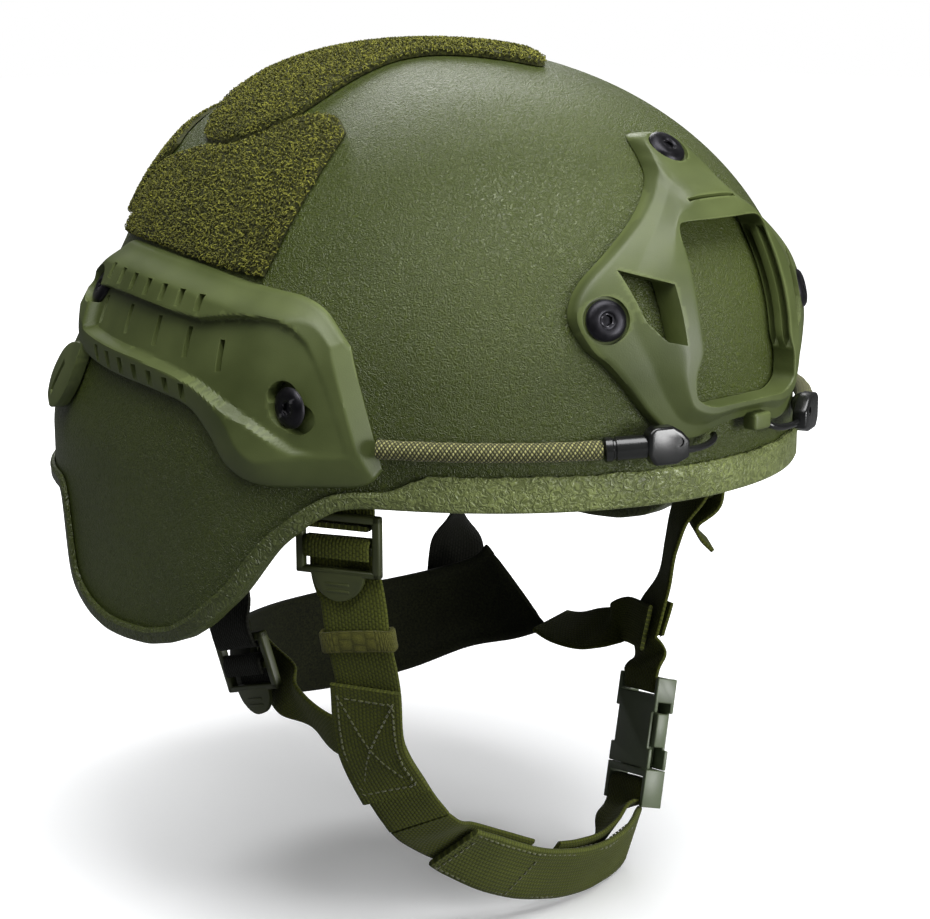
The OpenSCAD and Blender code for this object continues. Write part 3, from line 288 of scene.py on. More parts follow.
# %% Black oxide steel
def oxide_steel():
    material, tree, shader = start_finish("black_oxide_steel", metallic=0.85)
    cloudy = grains_of(tree, 3, detail=4.0)
    worn = spread(tree, add(tree, "ShaderNodeNewGeometry").outputs["Pointiness"], 0.54, 0.62, 0.0, 0.8)
    shown(tree, shader, mixed(tree, worn, mixed(tree, cloudy, "#17171a", "#2b2a2e"), "#77757a"),
        spread(tree, cloudy, 0.3, 0.7, 0.3, 0.5))
    bumped(tree, shader, grains_of(tree, 0.3), 0.01, 0.5)
    return material


black_steel = oxide_steel()


# %% [markdown]
# Nylon webbing is woven with heavy threads along it and finer ones across, which makes rows of small
# lozenges about 1.3 mm wide. The pattern follows the strap, so it reads the strap's own UV map, which
# holds metres across and along. Brushed nylon has a faint sheen at grazing angles.

# %% Webbing
def woven(name, dark, light, rib=1.3, pitch=1.7, sheen=0.06, fleck=0.35):
    material, tree, shader = start_finish(name, specular_ior_level=0.22, sheen_weight=sheen,
        sheen_roughness=0.5, roughness=0.78)
    uv = add(tree, "ShaderNodeUVMap", uv_map="lie").outputs[0]
    axes = add(tree, "ShaderNodeSeparateXYZ", {0: uv})
    column = maths(tree, "MULTIPLY", axes.outputs[0], 1 / (rib * MM))
    odd = maths(tree, "MULTIPLY", maths(tree, "FLOOR", column), 0.5)
    row = maths(tree, "ADD", maths(tree, "MULTIPLY", axes.outputs[1], 1 / (pitch * MM)), odd)
    arch, knuckle = humps(tree, column), humps(tree, row)
    weave = maths(tree, "MULTIPLY", maths(tree, "POWER", arch, 0.6), maths(tree, "POWER", knuckle, 0.5))
    threads = grains_of(tree, 0.5, detail=3.0)
    cloudy = grains_of(tree, 18, detail=3.0)
    # The crests of the weave are painted paler and its hollows darker: painted light and painted shade,
    # with random thread flecks
    lit = maths(tree, "ADD", maths(tree, "MULTIPLY", weave, 0.55),
        maths(tree, "MULTIPLY", spread(tree, threads, 0.3, 0.7), fleck))
    shade = maths(tree, "MULTIPLY", lit, spread(tree, cloudy, 0.3, 0.7, 0.75, 1.15))
    shown(tree, shader, mixed(tree, shade, dark, light))
    first = bumped(tree, shader, threads, 0.08, 0.5)
    bumped(tree, shader, weave, 0.3, 0.8, first)
    return material


webbing = woven("woven_nylon_webbing", "#212605", "#525816", sheen=0.05)
knit_elastic = woven("knitted_elastic", "#292b0a", "#5a5a22", rib=1.0, pitch=1.0, fleck=0.6)
black_web = woven("woven_black_webbing", "#0a0b05", "#1b1c12", sheen=0.04)
cup_web = woven("brushed_webbing_cup", "#2c320c", "#5d6426", rib=1.6, pitch=1.4)


# %% [markdown]
# Loop tape is a knitted ground with thousands of small nylon loops standing on it. The ground is
# seen only between the loops, so its colour is painted darker: painted shade from the loops. The loops
# catch the light one by one, and their colour differs from loop to loop, which gives the speckle of the
# photograph.

# %% Loop fabric and pads
def fuzzy(name, dark, light, speckle, sheen=0.4, depth=0.5):
    material, tree, shader = start_finish(name, specular_ior_level=0.2, sheen_weight=sheen,
        sheen_roughness=0.6,
        roughness=0.9)
    tufts = grains_of(tree, speckle, detail=3.0)
    cloudy = grains_of(tree, 14, detail=2.0)
    shade = maths(tree, "MULTIPLY", spread(tree, tufts, 0.34, 0.66),
        spread(tree, cloudy, 0.3, 0.7, 0.7, 1.1))
    shown(tree, shader, mixed(tree, shade, dark, light))
    bumped(tree, shader, tufts, depth, 0.8)
    return material


# Painted shade: the ground's colours are darker than the loops'
loop_ground = fuzzy("knitted_loop_ground", "#191b03", "#3c3f10", 1.2, sheen=0.05)
loop_pile = fuzzy("nylon_loop_pile", "#2b2f06", "#8c8c34", 1.3, sheen=0.08, depth=0.05)
pad_cloth = fuzzy("brushed_pad_fabric", "#15170b", "#2b2e1b", 0.9, sheen=0.2, depth=0.15)
band_cloth = fuzzy("brushed_black_fabric", "#0b0d03", "#20230d", 0.8, sheen=0.03, depth=0.12)
hook_tape = fuzzy("black_hook_tape", "#08080a", "#1c1c1c", 1.0, sheen=0.1, depth=0.4)


# %% [markdown]
# Elastic cord has a braided sleeve: ten strands wind each way round a rubber core, and a paler yarn in
# every other strand of one direction makes the flecks. The pattern winds with the cord's UV map.

# %% Braided cord
# The pitch is coarser than a real braid's, so that it shows
STRANDS, STRAND_PITCH = 10.0, 1.4


def braided():
    material, tree, shader = start_finish("braided_elastic_cord", specular_ior_level=0.3, sheen_weight=0.1,
        roughness=0.62)
    axes = add(tree, "ShaderNodeSeparateXYZ", {0: add(tree, "ShaderNodeUVMap", uv_map="lie").outputs[0]})
    turns = maths(tree, "MULTIPLY", axes.outputs[0], STRANDS)
    steps = maths(tree, "MULTIPLY", axes.outputs[1], 1 / (STRAND_PITCH * MM))
    one = maths(tree, "ADD", turns, steps)
    other = maths(tree, "SUBTRACT", turns, steps)
    ridge = maths(tree, "MULTIPLY", humps(tree, one), humps(tree, other))
    pale = maths(tree, "ABSOLUTE", maths(tree, "MODULO", maths(tree, "FLOOR", other), 2.0))
    # The ridges of the braid are painted paler and its grooves darker: painted light and painted shade; the
    # paler yarn is its own colour
    lit = maths(tree, "MULTIPLY", spread(tree, pale, 0.0, 1.0, 0.35, 1.0), spread(tree, ridge, 0.2, 0.95))
    shown(tree, shader, mixed(tree, lit, mixed(tree, ridge, "#1e1f0a", "#4c4d24"), "#9c9a62"))
    bumped(tree, shader, ridge, 0.35, 0.9)
    return material


cord_braid = braided()
print("finishes", len(bpy.data.materials))


# %% [markdown]
# ## The skin of the shell
# Every piece on a helmet lies on one curved surface. Its plan is a superellipse, its profile another,
# and below the shoulder it flares out over the ears and the nape. These are the formulas of the CAD
# part, so a finer mesh made from them lies exactly where the CAD says.

# %% Skin formulas
SHELL_FRONT, SHELL_REAR, HALF_W, DOME_H, SHOULDER, WALL = 139.5, 134.0, 120.0, 106.5, 42.0, 7.0
EAR_FLARE, NAPE_FLARE, EAR_DROP, NAPE_DROP = 13.0, 20.0, 61.0, 16.0
PLAN_N, FRONT_M, REAR_M, SIDE_M, SKIRT_N = 2.03, 2.05, 2.46, 1.77, 2.5
SEAT, TRIM_WALL, TRIM_LIP, TRIM_LIP_LOW = 0.5, 1.5, 10.5, 4.0
EAR_END, NAPE_START = 121.4, 123.8


def ease(t):
    s = np.clip(t, 0, 1)
    return s * s * (3 - 2 * s)


def fold(a):
    b = np.abs(np.asarray(a, float)) % 360
    return np.where(b > 180, 360 - b, b)


def oval(a, front, rear, side, n):
    c, s = np.cos(np.radians(a)), np.sin(np.radians(a))
    return ((np.abs(c) / np.where(c > 0, front, rear)) ** n + (np.abs(s) / side) ** n) ** (-1 / n)


def plan_r(a):
    return oval(a, SHELL_FRONT, SHELL_REAR, HALF_W, PLAN_N)


def flare_r(a):
    low = EAR_FLARE * ease((fold(a) - 52) / (90 - 52))
    rear = oval(a, SHELL_FRONT, SHELL_REAR + NAPE_FLARE, HALF_W + EAR_FLARE, SKIRT_N) - plan_r(a)
    return np.where(fold(a) <= 90, low, rear)


def profile_m(a):
    c = np.cos(np.radians(a))
    return SIDE_M + (np.where(c > 0, FRONT_M, REAR_M) - SIDE_M) * c * c


def skin(a, z, off=0.0):
    """Point of the skin at azimuth a and height z, moved out by off."""
    a, z, off = np.broadcast_arrays(np.asarray(a, float), np.asarray(z, float), np.asarray(off, float))
    m = profile_m(a)
    k = np.clip((z - SHOULDER) / (DOME_H + off), 0, 1)
    flare = flare_r(a) * ease((SHOULDER + 40 - z) / 78)
    r = (plan_r(a) + off) * np.maximum(1 - k ** m, 0) ** (1 / m) + flare
    return np.stack([-r * np.sin(np.radians(a)), -r * np.cos(np.radians(a)), z], -1)


def crown(x, y, off=0.0):
    """Point of the skin over x and y, for places near the crown."""
    x, y, off = np.broadcast_arrays(np.asarray(x, float), np.asarray(y, float), np.asarray(off, float))
    a = np.degrees(np.arctan2(-x, -y))
    m = profile_m(a)
    k = np.minimum(1, np.hypot(x, y) / (plan_r(a) + off))
    return np.stack([x, y, SHOULDER + (DOME_H + off) * (1 - k ** m) ** (1 / m)], -1)


def brow(x, z, off=0.0):
    """Point of the skin at the front, over x and z."""
    x, z, off = np.broadcast_arrays(np.asarray(x, float), np.asarray(z, float), np.asarray(off, float))
    k = np.maximum(0, (z - SHOULDER) / (DOME_H + off))
    rho = (1 - k ** FRONT_M) ** (1 / FRONT_M)
    s = (1 - (np.abs(x) / ((HALF_W + off) * rho)) ** PLAN_N) ** (1 / PLAN_N)
    return np.stack([x, -(SHELL_FRONT + off) * rho * s, z], -1)


EAR_EDGE = np.array([[58, 0], [62, 0.02], [66, 0.1], [72.6, 0.29], [78.7, 0.58], [85.5, 0.8], [91, 0.92],
    [97.7, 0.985], [104, 1], [109, 0.995], [114, 0.95], [118, 0.88], [EAR_END, 0.77]])
edge_a = np.linspace(0, 180, 721)
low = -EAR_DROP * np.interp(edge_a, EAR_EDGE[:, 0], EAR_EDGE[:, 1])
between = -EAR_DROP * 0.77 + (-NAPE_DROP + EAR_DROP * 0.77) * (edge_a - EAR_END) / (NAPE_START - EAR_END)
edge_low = np.where(edge_a <= EAR_END, low, np.where(edge_a >= NAPE_START, -NAPE_DROP, between))
bell = np.exp(-0.5 * (np.arange(-12, 13) / 4.0) ** 2)
edge_soft = np.convolve(np.pad(edge_low, 12, mode="edge"), bell / bell.sum(), mode="valid")


def edge_z(a):
    """Height of the shell's lower edge, which the trim wraps."""
    return SEAT + TRIM_WALL + np.interp(fold(a), edge_a, edge_soft)


print("skin at the ear", skin(90, 34.0).round(1))


# %% [markdown]
# ## Mesh tools
# Two shapes make nearly everything: a slab between two grids of points, and a loft through rings. Each
# returns a finished object whose place is in its mesh. A loft also carries a UV map in metres, so that a
# weave follows it.

# %% Mesh tools
def unit(v):
    v = np.asarray(v, float)
    return v / np.maximum(np.linalg.norm(v, axis=-1, keepdims=True), 1e-12)


def finish_mesh(name, data, material, sharp=35):
    shape = bmesh.new()
    shape.from_mesh(data)
    bmesh.ops.recalc_face_normals(shape, faces=shape.faces)
    shape.to_mesh(data)
    shape.free()
    for polygon in data.polygons:
        polygon.use_smooth = True
    data.set_sharp_from_angle(angle=math.radians(sharp))
    data.materials.clear()
    data.materials.append(material)
    return linked(name, data)


def mesh_of(name, points, faces, material, corners=None, sharp=35):
    data = bpy.data.meshes.new(name)
    data.from_pydata((np.asarray(points, float) * MM).tolist(), [], faces)
    if corners is not None:
        layer = data.uv_layers.new(name="lie")
        layer.data.foreach_set("uv", (np.asarray(corners, float)).astype(np.float32).ravel())
    return finish_mesh(name, data, material, sharp)


def grid_faces(r, c):
    return [(i * c + j, (i + 1) * c + j, (i + 1) * c + j + 1, i * c + j + 1)
        for i in range(r - 1) for j in range(c - 1)]


def slab_faces(r, c):
    n, top = r * c, grid_faces(r, c)
    base = [tuple(n + k for k in reversed(f)) for f in top]
    rim = [i * c for i in range(r)] + [(r - 1) * c + j for j in range(1, c)]
    rim += [i * c + c - 1 for i in range(r - 2, -1, -1)] + [j for j in range(c - 2, 0, -1)]
    side = [(rim[k], rim[k - 1], rim[k - 1] + n, rim[k] + n) for k in range(len(rim))]
    return top + base + side


def slab(name, top, base, material):
    top, base = np.asarray(top), np.asarray(base)
    points = np.concatenate([top.reshape(-1, 3), base.reshape(-1, 3)])
    return mesh_of(name, points, slab_faces(*top.shape[:2]), material, sharp=50)


def loft(name, rings, material, round_closed=False, across=None, along=None, sharp=50):
    """Rings of equal count joined in turn. across and along give the UV map in millimetres."""
    rings = np.asarray(rings, float)
    r, m = rings.shape[:2]
    faces, corners = [], []
    across = np.arange(m + 1) if across is None else np.asarray(across, float)
    along = np.arange(r + 1) if along is None else np.asarray(along, float)
    for i in range(r if round_closed else r - 1):
        k = (i + 1) % r
        for j in range(m):
            n = (j + 1) % m
            faces.append((i * m + j, i * m + n, k * m + n, k * m + j))
            v, w = along[i] * MM, along[i + 1] * MM
            u, x = across[j] * MM, across[j + 1] * MM
            corners += [(u, v), (x, v), (x, w), (u, w)]
    if not round_closed:
        for i in (0, r - 1):
            faces.append(tuple(i * m + j for j in (range(m) if i else reversed(range(m)))))
            order = range(m) if i else reversed(range(m))
            corners += [(across[j] * MM, along[i] * MM) for j in order]
    return mesh_of(name, rings.reshape(-1, 3), faces, material, corners, sharp)


def curve(points, steps):
    """Smooth curve through given points, the same as the CAD part's."""
    p = np.asarray(points, float)
    e = len(p) - 1
    made = []
    for i in range(e):
        a, b, c, d = p[max(0, i - 1)], p[i], p[i + 1], p[min(e, i + 2)]
        for k in range(steps):
            t = k / steps
            made.append(0.5 * (2 * b + (c - a) * t + (2 * a - 5 * b + 4 * c - d) * t * t
                + (3 * b - a - 3 * c + d) * t ** 3))
    return np.array(made + [p[e]])


def round_turn(sides):
    return np.arange(sides) * 2 * math.pi / sides


# Up and across of a local frame that stands straight
UPRIGHT = (0, 0, 1), (1, 0, 0)


def frame_of(up, across):
    z = unit(up)
    x = unit(np.asarray(across, float) - (np.asarray(across, float) @ z) * z)
    return x, np.cross(z, x), z


def placed(place, p):
    """Point of a local frame [origin, up, across], with across first, then outward, then up."""
    x, y, z = frame_of(place[1], place[2])
    return np.asarray(place[0], float) + x * p[0] + y * p[1] + z * p[2]


def put(obj, place):
    """Moves a mesh made about the middle, in millimetres, to a local frame."""
    x, y, z = frame_of(place[1], place[2])
    rows = np.eye(4)
    rows[:3, 0], rows[:3, 1], rows[:3, 2], rows[:3, 3] = x, y, z, np.asarray(place[0], float) * MM
    obj.data.transform(Matrix(rows.tolist()))


def skin_normal(a, z):
    return unit(np.cross(skin(a + 1, z) - skin(a - 1, z), skin(a, z - 2) - skin(a, z + 2)))


def mirrored(points):
    return np.asarray(points, float) * [-1, 1, 1]


def carved(obj, cutters):
    """Cuts closed meshes out of obj and deletes them."""
    for cutter in cutters:
        modifier = obj.modifiers.new("cut", "BOOLEAN")
        modifier.operation, modifier.object, modifier.solver = "DIFFERENCE", cutter, "EXACT"
    settle(obj)
    for cutter in cutters:
        bpy.data.objects.remove(cutter)
    return obj


def settle(obj, sharp=35):
    """Turns the modifiers of obj into plain mesh."""
    bpy.context.view_layer.update()
    made = bpy.data.meshes.new_from_object(obj.evaluated_get(bpy.context.evaluated_depsgraph_get()))
    obj.modifiers.clear()
    obj.data = made
    for polygon in made.polygons:
        polygon.use_smooth = True
    made.set_sharp_from_angle(angle=math.radians(sharp))
    return obj


def ring_cutter(place, radius, low, high, sides=64):
    """A round cutter along the up direction of a local frame."""
    turns = round_turn(sides)
    x, y, z = frame_of(place[1], place[2])
    rings = [[np.asarray(place[0]) + (x * math.cos(t) + y * math.sin(t)) * radius + z * h for t in turns]
        for h in (low, high)]
    return loft("cutter", rings, black_nylon)


CORNERS = (1, 1), (-1, 1), (-1, -1), (1, -1)


def box_cutter(place, size):
    half = np.asarray(size, float) / 2
    rings = [[placed(place, (x * half[0], y * half[1], s * half[2])) for x, y in CORNERS] for s in (-1, 1)]
    return loft("cutter", rings, black_nylon)


def joined(name, parts):
    """Several meshes as one object."""
    shape = bmesh.new()
    for part in parts:
        shape.from_mesh(part.data)
    data = bpy.data.meshes.new(name)
    shape.to_mesh(data)
    shape.free()
    material = parts[0].data.materials[0]
    for part in parts:
        bpy.data.objects.remove(part)
    return finish_mesh(name, data, material)


def mirror_copy(name, obj):
    """The same mesh for the other side of the helmet."""
    data = obj.data.copy()
    data.transform(Matrix.Scale(-1, 4, (1, 0, 0)))
    return finish_mesh(name, data, obj.data.materials[0])


def softened(part, width, segments=2, sharp=30):
    """Rounds the edges of a mesh that was made of flat faces."""
    bevel = part.modifiers.new("edges", "BEVEL")
    bevel.width, bevel.segments, bevel.limit_method = width * MM, segments, "ANGLE"
    bevel.angle_limit = math.radians(sharp)
    return settle(part)


def ready(piece, body, slot, *nodes):
    """Says which body a piece rides on and whose place it takes. The slot, which names its finish, is not
    used.
    """
    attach(piece, body)
    if nodes:
        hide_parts(*nodes)
    print(piece.name, len(piece.data.polygons), "faces on", body)
    return piece


# %% [markdown]
# ## Shell
# The real shell is pressed from layers of cloth and resin, then trimmed and sprayed. Here it is one
# closed mesh: an outer skin, an inner skin 7 mm below it, and the cut edge between them.

# %% Shell
SHELL_TURNS, DOME_ROWS, SKIRT_ROWS = 360, 48, 28
turn = np.linspace(0, 360, SHELL_TURNS + 1)[:-1]
dome_t = np.linspace(0, 90, DOME_ROWS + 1)[:-1]
skirt_share = np.linspace(0, 1, SKIRT_ROWS + 1)[:-1]


def shell_rings(off):
    rings = []
    for share in skirt_share:
        low = edge_z(turn)
        rings.append(skin(turn, low + (SHOULDER - low) * share, off))
    for t in dome_t:
        z = SHOULDER + (DOME_H + off) * np.sin(np.radians(t)) ** (2 / profile_m(turn))
        rings.append(skin(turn, z, off))
    return np.array(rings)


outer, inner = shell_rings(0.0), shell_rings(-WALL)
count, rows = len(turn), len(outer)
points = np.concatenate([outer.reshape(-1, 3), [[0, 0, SHOULDER + DOME_H]], inner.reshape(-1, 3),
    [[0, 0, SHOULDER + DOME_H - WALL]]])
shift = rows * count + 1
faces = []
for i in range(rows - 1):
    for j in range(count):
        n = (j + 1) % count
        faces.append((i * count + j, i * count + n, (i + 1) * count + n, (i + 1) * count + j))
        faces.append(tuple(shift + k for k in reversed(faces[-1])))
for j in range(count):
    n, last = (j + 1) % count, (rows - 1) * count
    faces.append((last + j, last + n, rows * count))
    faces.append((shift + last + n, shift + last + j, shift + rows * count))
    faces.append((n, j, shift + j, shift + n))
shell = mesh_of("shell_skin", points, faces, shell_paint, sharp=60)
ready(shell, "helmet", "shell_paint", "shell")


# %% [markdown]
# ## Edge trim
# A rubber channel is pushed over the cut edge and painted with the shell. Its outer lip is taller
# round the brim. The section is laid square to the edge, so it also turns the corners of the ear
# flaps, where the edge climbs steeply.

# %% Edge trim
FINE_TURNS, TRIM_STATIONS = 1440, 520
fine = np.linspace(0, 360, FINE_TURNS + 1)[:-1]
path = skin(fine, edge_z(fine), 0.0)
steps = np.linalg.norm(np.roll(path, -1, 0) - path, axis=1)
length = np.concatenate([[0], np.cumsum(steps)])
even = np.linspace(0, length[-1], TRIM_STATIONS + 1)[:-1]
at = np.interp(even, length, np.append(fine, 360))
edge = skin(at, edge_z(at), 0.0)
ahead = unit(np.roll(edge, -1, 0) - np.roll(edge, 1, 0))
out_way = skin_normal(at, edge_z(at))
out_way = unit(out_way - (out_way * ahead).sum(1, keepdims=True) * ahead)
down_way = np.cross(ahead, out_way)
down_way *= np.sign((down_way[:, 2] * -1).mean())
LIP_END_A, LIP_FADE_A, TALL_LIP = 46, 9, 6
lip = TRIM_LIP + (TRIM_LIP_LOW - TRIM_LIP) * ease((fold(at) - LIP_END_A) / LIP_FADE_A)
outside, under, inside = SEAT + TRIM_WALL, SEAT + TRIM_WALL, -WALL - SEAT - TRIM_WALL
section = []
for k in range(len(at)):
    ragged = 0.35 * math.sin(at[k] * 2.1) * math.sin(at[k] * 5.3 + 1) + 0.2 * math.sin(at[k] * 17.0)
    top = -lip[k] + ragged * (lip[k] > TALL_LIP)
    profile = [(SEAT, top), (outside - 0.4, top), (outside, top + 0.6), (outside + 0.25, top + 1.6),
        (outside, top * 0.5), (outside, under - 1.3), (outside - 0.5, under - 0.4), (outside - 1.5, under),
        (inside + 1.5, under), (inside + 0.5, under - 0.4), (inside, under - 1.3),
        (inside, -TRIM_LIP_LOW + 0.6),
        (inside + 0.5, -TRIM_LIP_LOW), (-WALL - SEAT, -TRIM_LIP_LOW), (-WALL - SEAT, SEAT), (SEAT, SEAT)]
    section.append([edge[k] + out_way[k] * o + down_way[k] * d for o, d in profile])
trim = loft("edge_trim_rubber", section, trim_paint, round_closed=True, sharp=45)
ready(trim, "helmet", "trim_rubber", "edge_trim")


# %% [markdown]
# ## Loop panels
# Four pieces of loop tape are glued on: a long one over the crown, one at each side and one at the
# rear. Each is a thin slab whose rim is rounded, because the knitted ground is soft.

# %% Loop panel grounds
LOOP_T, CROWN_HALF, SOFT_RIM = 2.2, 79.0, 1.6
crown_rows = np.array([[-50, 1.5], [-46, 5], [-41, 8], [-36, 11], [-30, 14], [-24, 17], [-17, 20],
    [-10, 24],
    [-4, 31], [0, 45], [3, CROWN_HALF - 20], [7, CROWN_HALF - 11], [12, CROWN_HALF - 7],
    [18, CROWN_HALF - 3],
    [25, CROWN_HALF - 0.5], [34, CROWN_HALF], [43, CROWN_HALF - 1], [51, CROWN_HALF - 5],
    [57, CROWN_HALF - 13],
    [62, CROWN_HALF - 26]])


def soft_rim(r, c, row_mm, column_mm):
    """Height of a loop panel's top, lower along its rim."""
    i, j = np.meshgrid(np.arange(r), np.arange(c), indexing="ij")
    to_edge = np.minimum(np.minimum(i, r - 1 - i) * row_mm, np.minimum(j, c - 1 - j) * column_mm)
    near = np.clip(to_edge / SOFT_RIM, 0, 1)
    return SEAT + LOOP_T * (0.5 + 0.5 * np.sqrt(1 - (1 - near) ** 2))


crown_line = curve(crown_rows, 5)
side_share = np.linspace(-1, 1, 91)
crown_x = crown_line[:, 1:2] * side_share
crown_y = np.repeat(crown_line[:, 0:1], len(side_share), 1)
crown_high = soft_rim(*crown_x.shape, 1.2, 1.7)
crown_panel = slab("crown_loop_ground", crown(crown_x, crown_y, crown_high), crown(crown_x, crown_y, SEAT),
    loop_ground)

side_top = curve([[71.5, 121], [78, 125.5], [87, 126.7], [95, 124], [102, 118.2], [109, 114.6],
    [119, 113.4],
    [133, 106]], 12)
side_low = curve([[77.7, 74.5], [83, 75.5], [88, 76.5], [98, 78.3], [107, 80], [115, 80.7], [124, 81],
    [131, 81]], 12)
share = np.linspace(0, 1, 41)[:, None]
side_a = side_top[:, 0] + (side_low[:, 0] - side_top[:, 0]) * share
side_z = side_top[:, 1] + (side_low[:, 1] - side_top[:, 1]) * share
side_high = soft_rim(*side_a.shape, 1.1, 1.1)
side_skin = {off: skin(side_a, side_z, h) for off, h in (("top", side_high), ("base", SEAT))}

rear_j, rear_k = np.meshgrid(np.linspace(-1, 1, 121), np.linspace(0, 1, 39))
REAR_HALF_A, REAR_TOP_Z, REAR_DIP, REAR_LOW_Z = 43, 128, 16, 86
rear_a = 180 + REAR_HALF_A * rear_j
rear_top_z = REAR_TOP_Z - REAR_DIP * rear_j ** 2
rear_z = rear_top_z + (REAR_LOW_Z - rear_top_z) * rear_k
rear_high = soft_rim(*rear_a.shape, 1.1, 1.4)
rear_panel = slab("rear_loop_ground", skin(rear_a, rear_z, rear_high), skin(rear_a, rear_z, SEAT),
    loop_ground)
right_panel = slab("right_loop_ground", side_skin["top"], side_skin["base"], loop_ground)
left_panel = slab("left_loop_ground", mirrored(side_skin["top"]), mirrored(side_skin["base"]), loop_ground)
for piece, node in ((crown_panel, "crown_loop_panel"), (rear_panel, "rear_loop_panel"),
        (right_panel, "side_loop_panel_right"), (left_panel, "side_loop_panel_left")):
    ready(piece, "helmet", "loop_fabric", node)


# %% [markdown]
# ## Loop pile
# The loops themselves repeat thousands of times, so Geometry Nodes scatter them: points on the
# panel's top, one tiny arch of nylon at each, turned at random about the surface normal. A loop has
# only eleven faces. The tree ends in Realize Instances, so that the pile is a plain mesh. The crown's
# pile is laid as two pieces of equal area, so that neither has too many triangles.

# %% Scatter the loops
def open_tree(name, *inputs):
    tree = bpy.data.node_groups.new(name, "GeometryNodeTree")
    tree.interface.new_socket("Geometry", in_out="INPUT", socket_type="NodeSocketGeometry")
    for label, kind in inputs:
        tree.interface.new_socket(label, in_out="INPUT", socket_type=kind)
    tree.interface.new_socket("Geometry", in_out="OUTPUT", socket_type="NodeSocketGeometry")
    return tree, add(tree, "NodeGroupInput").outputs


def close_tree(tree, geometry, material):
    real = add(tree, "GeometryNodeRealizeInstances", {0: geometry})
    done = add(tree, "GeometryNodeSetMaterial", {0: real.outputs[0], "Material": material})
    add(tree, "NodeGroupOutput", {0: done.outputs[0]})


def laid(tree, points, lent, turn):
    """Lays a lent object at each point, turned."""
    model = add(tree, "GeometryNodeObjectInfo", {"Object": lent}).outputs["Geometry"]
    return add(tree, "GeometryNodeInstanceOnPoints", {"Points": points, "Instance": model,
        "Rotation": turn})


def grown(obj, tree, **values):
    """Runs a tree on obj with its named inputs and leaves plain mesh."""
    modifier = obj.modifiers.new(tree.name, "NODES")
    modifier.node_group = tree
    for item in tree.interface.items_tree:
        if item.in_out == "INPUT" and item.name in values:
            modifier[item.identifier] = values[item.name]
    return settle(obj, 60)


def small_loop():
    """An arch of nylon, three sided, 1.3 mm across and 0.8 mm high."""
    line = np.array([[-0.6, 0, -0.25], [-0.45, 0.05, 0.5], [0.4, -0.05, 0.75], [0.6, 0, -0.2]])
    rings = [[p + [0, 0.17 * math.cos(t), 0.14 * math.sin(t)] for t in (0.5, 2.6, 4.7)] for p in line]
    made = loft("one_loop", rings, loop_pile)
    bpy.context.scene.collection.objects.unlink(made)
    return made


pile_tree, pile_in = open_tree("loop_pile", ("Loops per square metre", "NodeSocketFloat"),
    ("Seed", "NodeSocketInt"), ("Loop", "NodeSocketObject"))
scattered = add(pile_tree, "GeometryNodeDistributePointsOnFaces", {"Mesh": pile_in["Geometry"],
    "Density": pile_in["Loops per square metre"], "Seed": pile_in["Seed"]}, distribute_method="RANDOM")
turned_by = add(pile_tree, "FunctionNodeRandomValue", {"Min": (-0.5, -0.5, 0), "Max": (0.5, 0.5, 6.28),
    "Seed": pile_in["Seed"]}, data_type="FLOAT_VECTOR")
lean = add(pile_tree, "FunctionNodeRotateRotation", {0: scattered.outputs["Rotation"],
    1: turned_by.outputs[0]}, rotation_space="LOCAL")
loop_size = add(pile_tree, "FunctionNodeRandomValue", {"Min": 0.75, "Max": 1.3, "Seed": pile_in["Seed"]},
    data_type="FLOAT")
loops_there = laid(pile_tree, scattered.outputs["Points"], pile_in["Loop"], lean.outputs[0])
pile_tree.links.new([s for s in loop_size.outputs if s.enabled][0], loops_there.inputs["Scale"])
close_tree(pile_tree, loops_there.outputs[0], loop_pile)
loop_shape = small_loop()
LOOPS_A_SQUARE_METRE = 1.05e6


def pile_on(name, top, seed):
    faces = grid_faces(*top.shape[:2])
    field = mesh_of(name, top.reshape(-1, 3), faces, loop_pile)
    normal = field.data.polygons[len(faces) // 2].normal
    if normal.dot(field.data.polygons[len(faces) // 2].center - Vector((0, 0, 0.02))) < 0:
        field.data.flip_normals()
    grown(field, pile_tree, **{"Loops per square metre": LOOPS_A_SQUARE_METRE, "Seed": seed,
        "Loop": loop_shape})
    ready(field, "helmet", "loop_fabric")


crown_top = crown(crown_x, crown_y, crown_high)
row_step, column_step = crown_top[1:, :-1] - crown_top[:-1, :-1], crown_top[:-1, 1:] - crown_top[:-1, :-1]
row_areas = np.linalg.norm(np.cross(row_step, column_step), axis=-1).sum(1)
crown_half = int(np.searchsorted(np.cumsum(row_areas), row_areas.sum() / 2))
pile_on("crown_loop_pile_one", crown_top[:crown_half + 1], 1)
pile_on("crown_loop_pile_two", crown_top[crown_half:], 5)
pile_on("rear_loop_pile", skin(rear_a, rear_z, rear_high), 2)
pile_on("right_loop_pile", side_skin["top"], 3)
pile_on("left_loop_pile", mirrored(side_skin["top"]), 4)


# %% [markdown]
# ## Front shroud
# One moulding frames an opening in which a device clips. Stations round the frame each have an outer
# and an inner point, and a profile climbs from the low rim to the high frame. At the sides a rail
# runs inside the opening between two deep grooves. Screw seats and wing pockets are cut last.

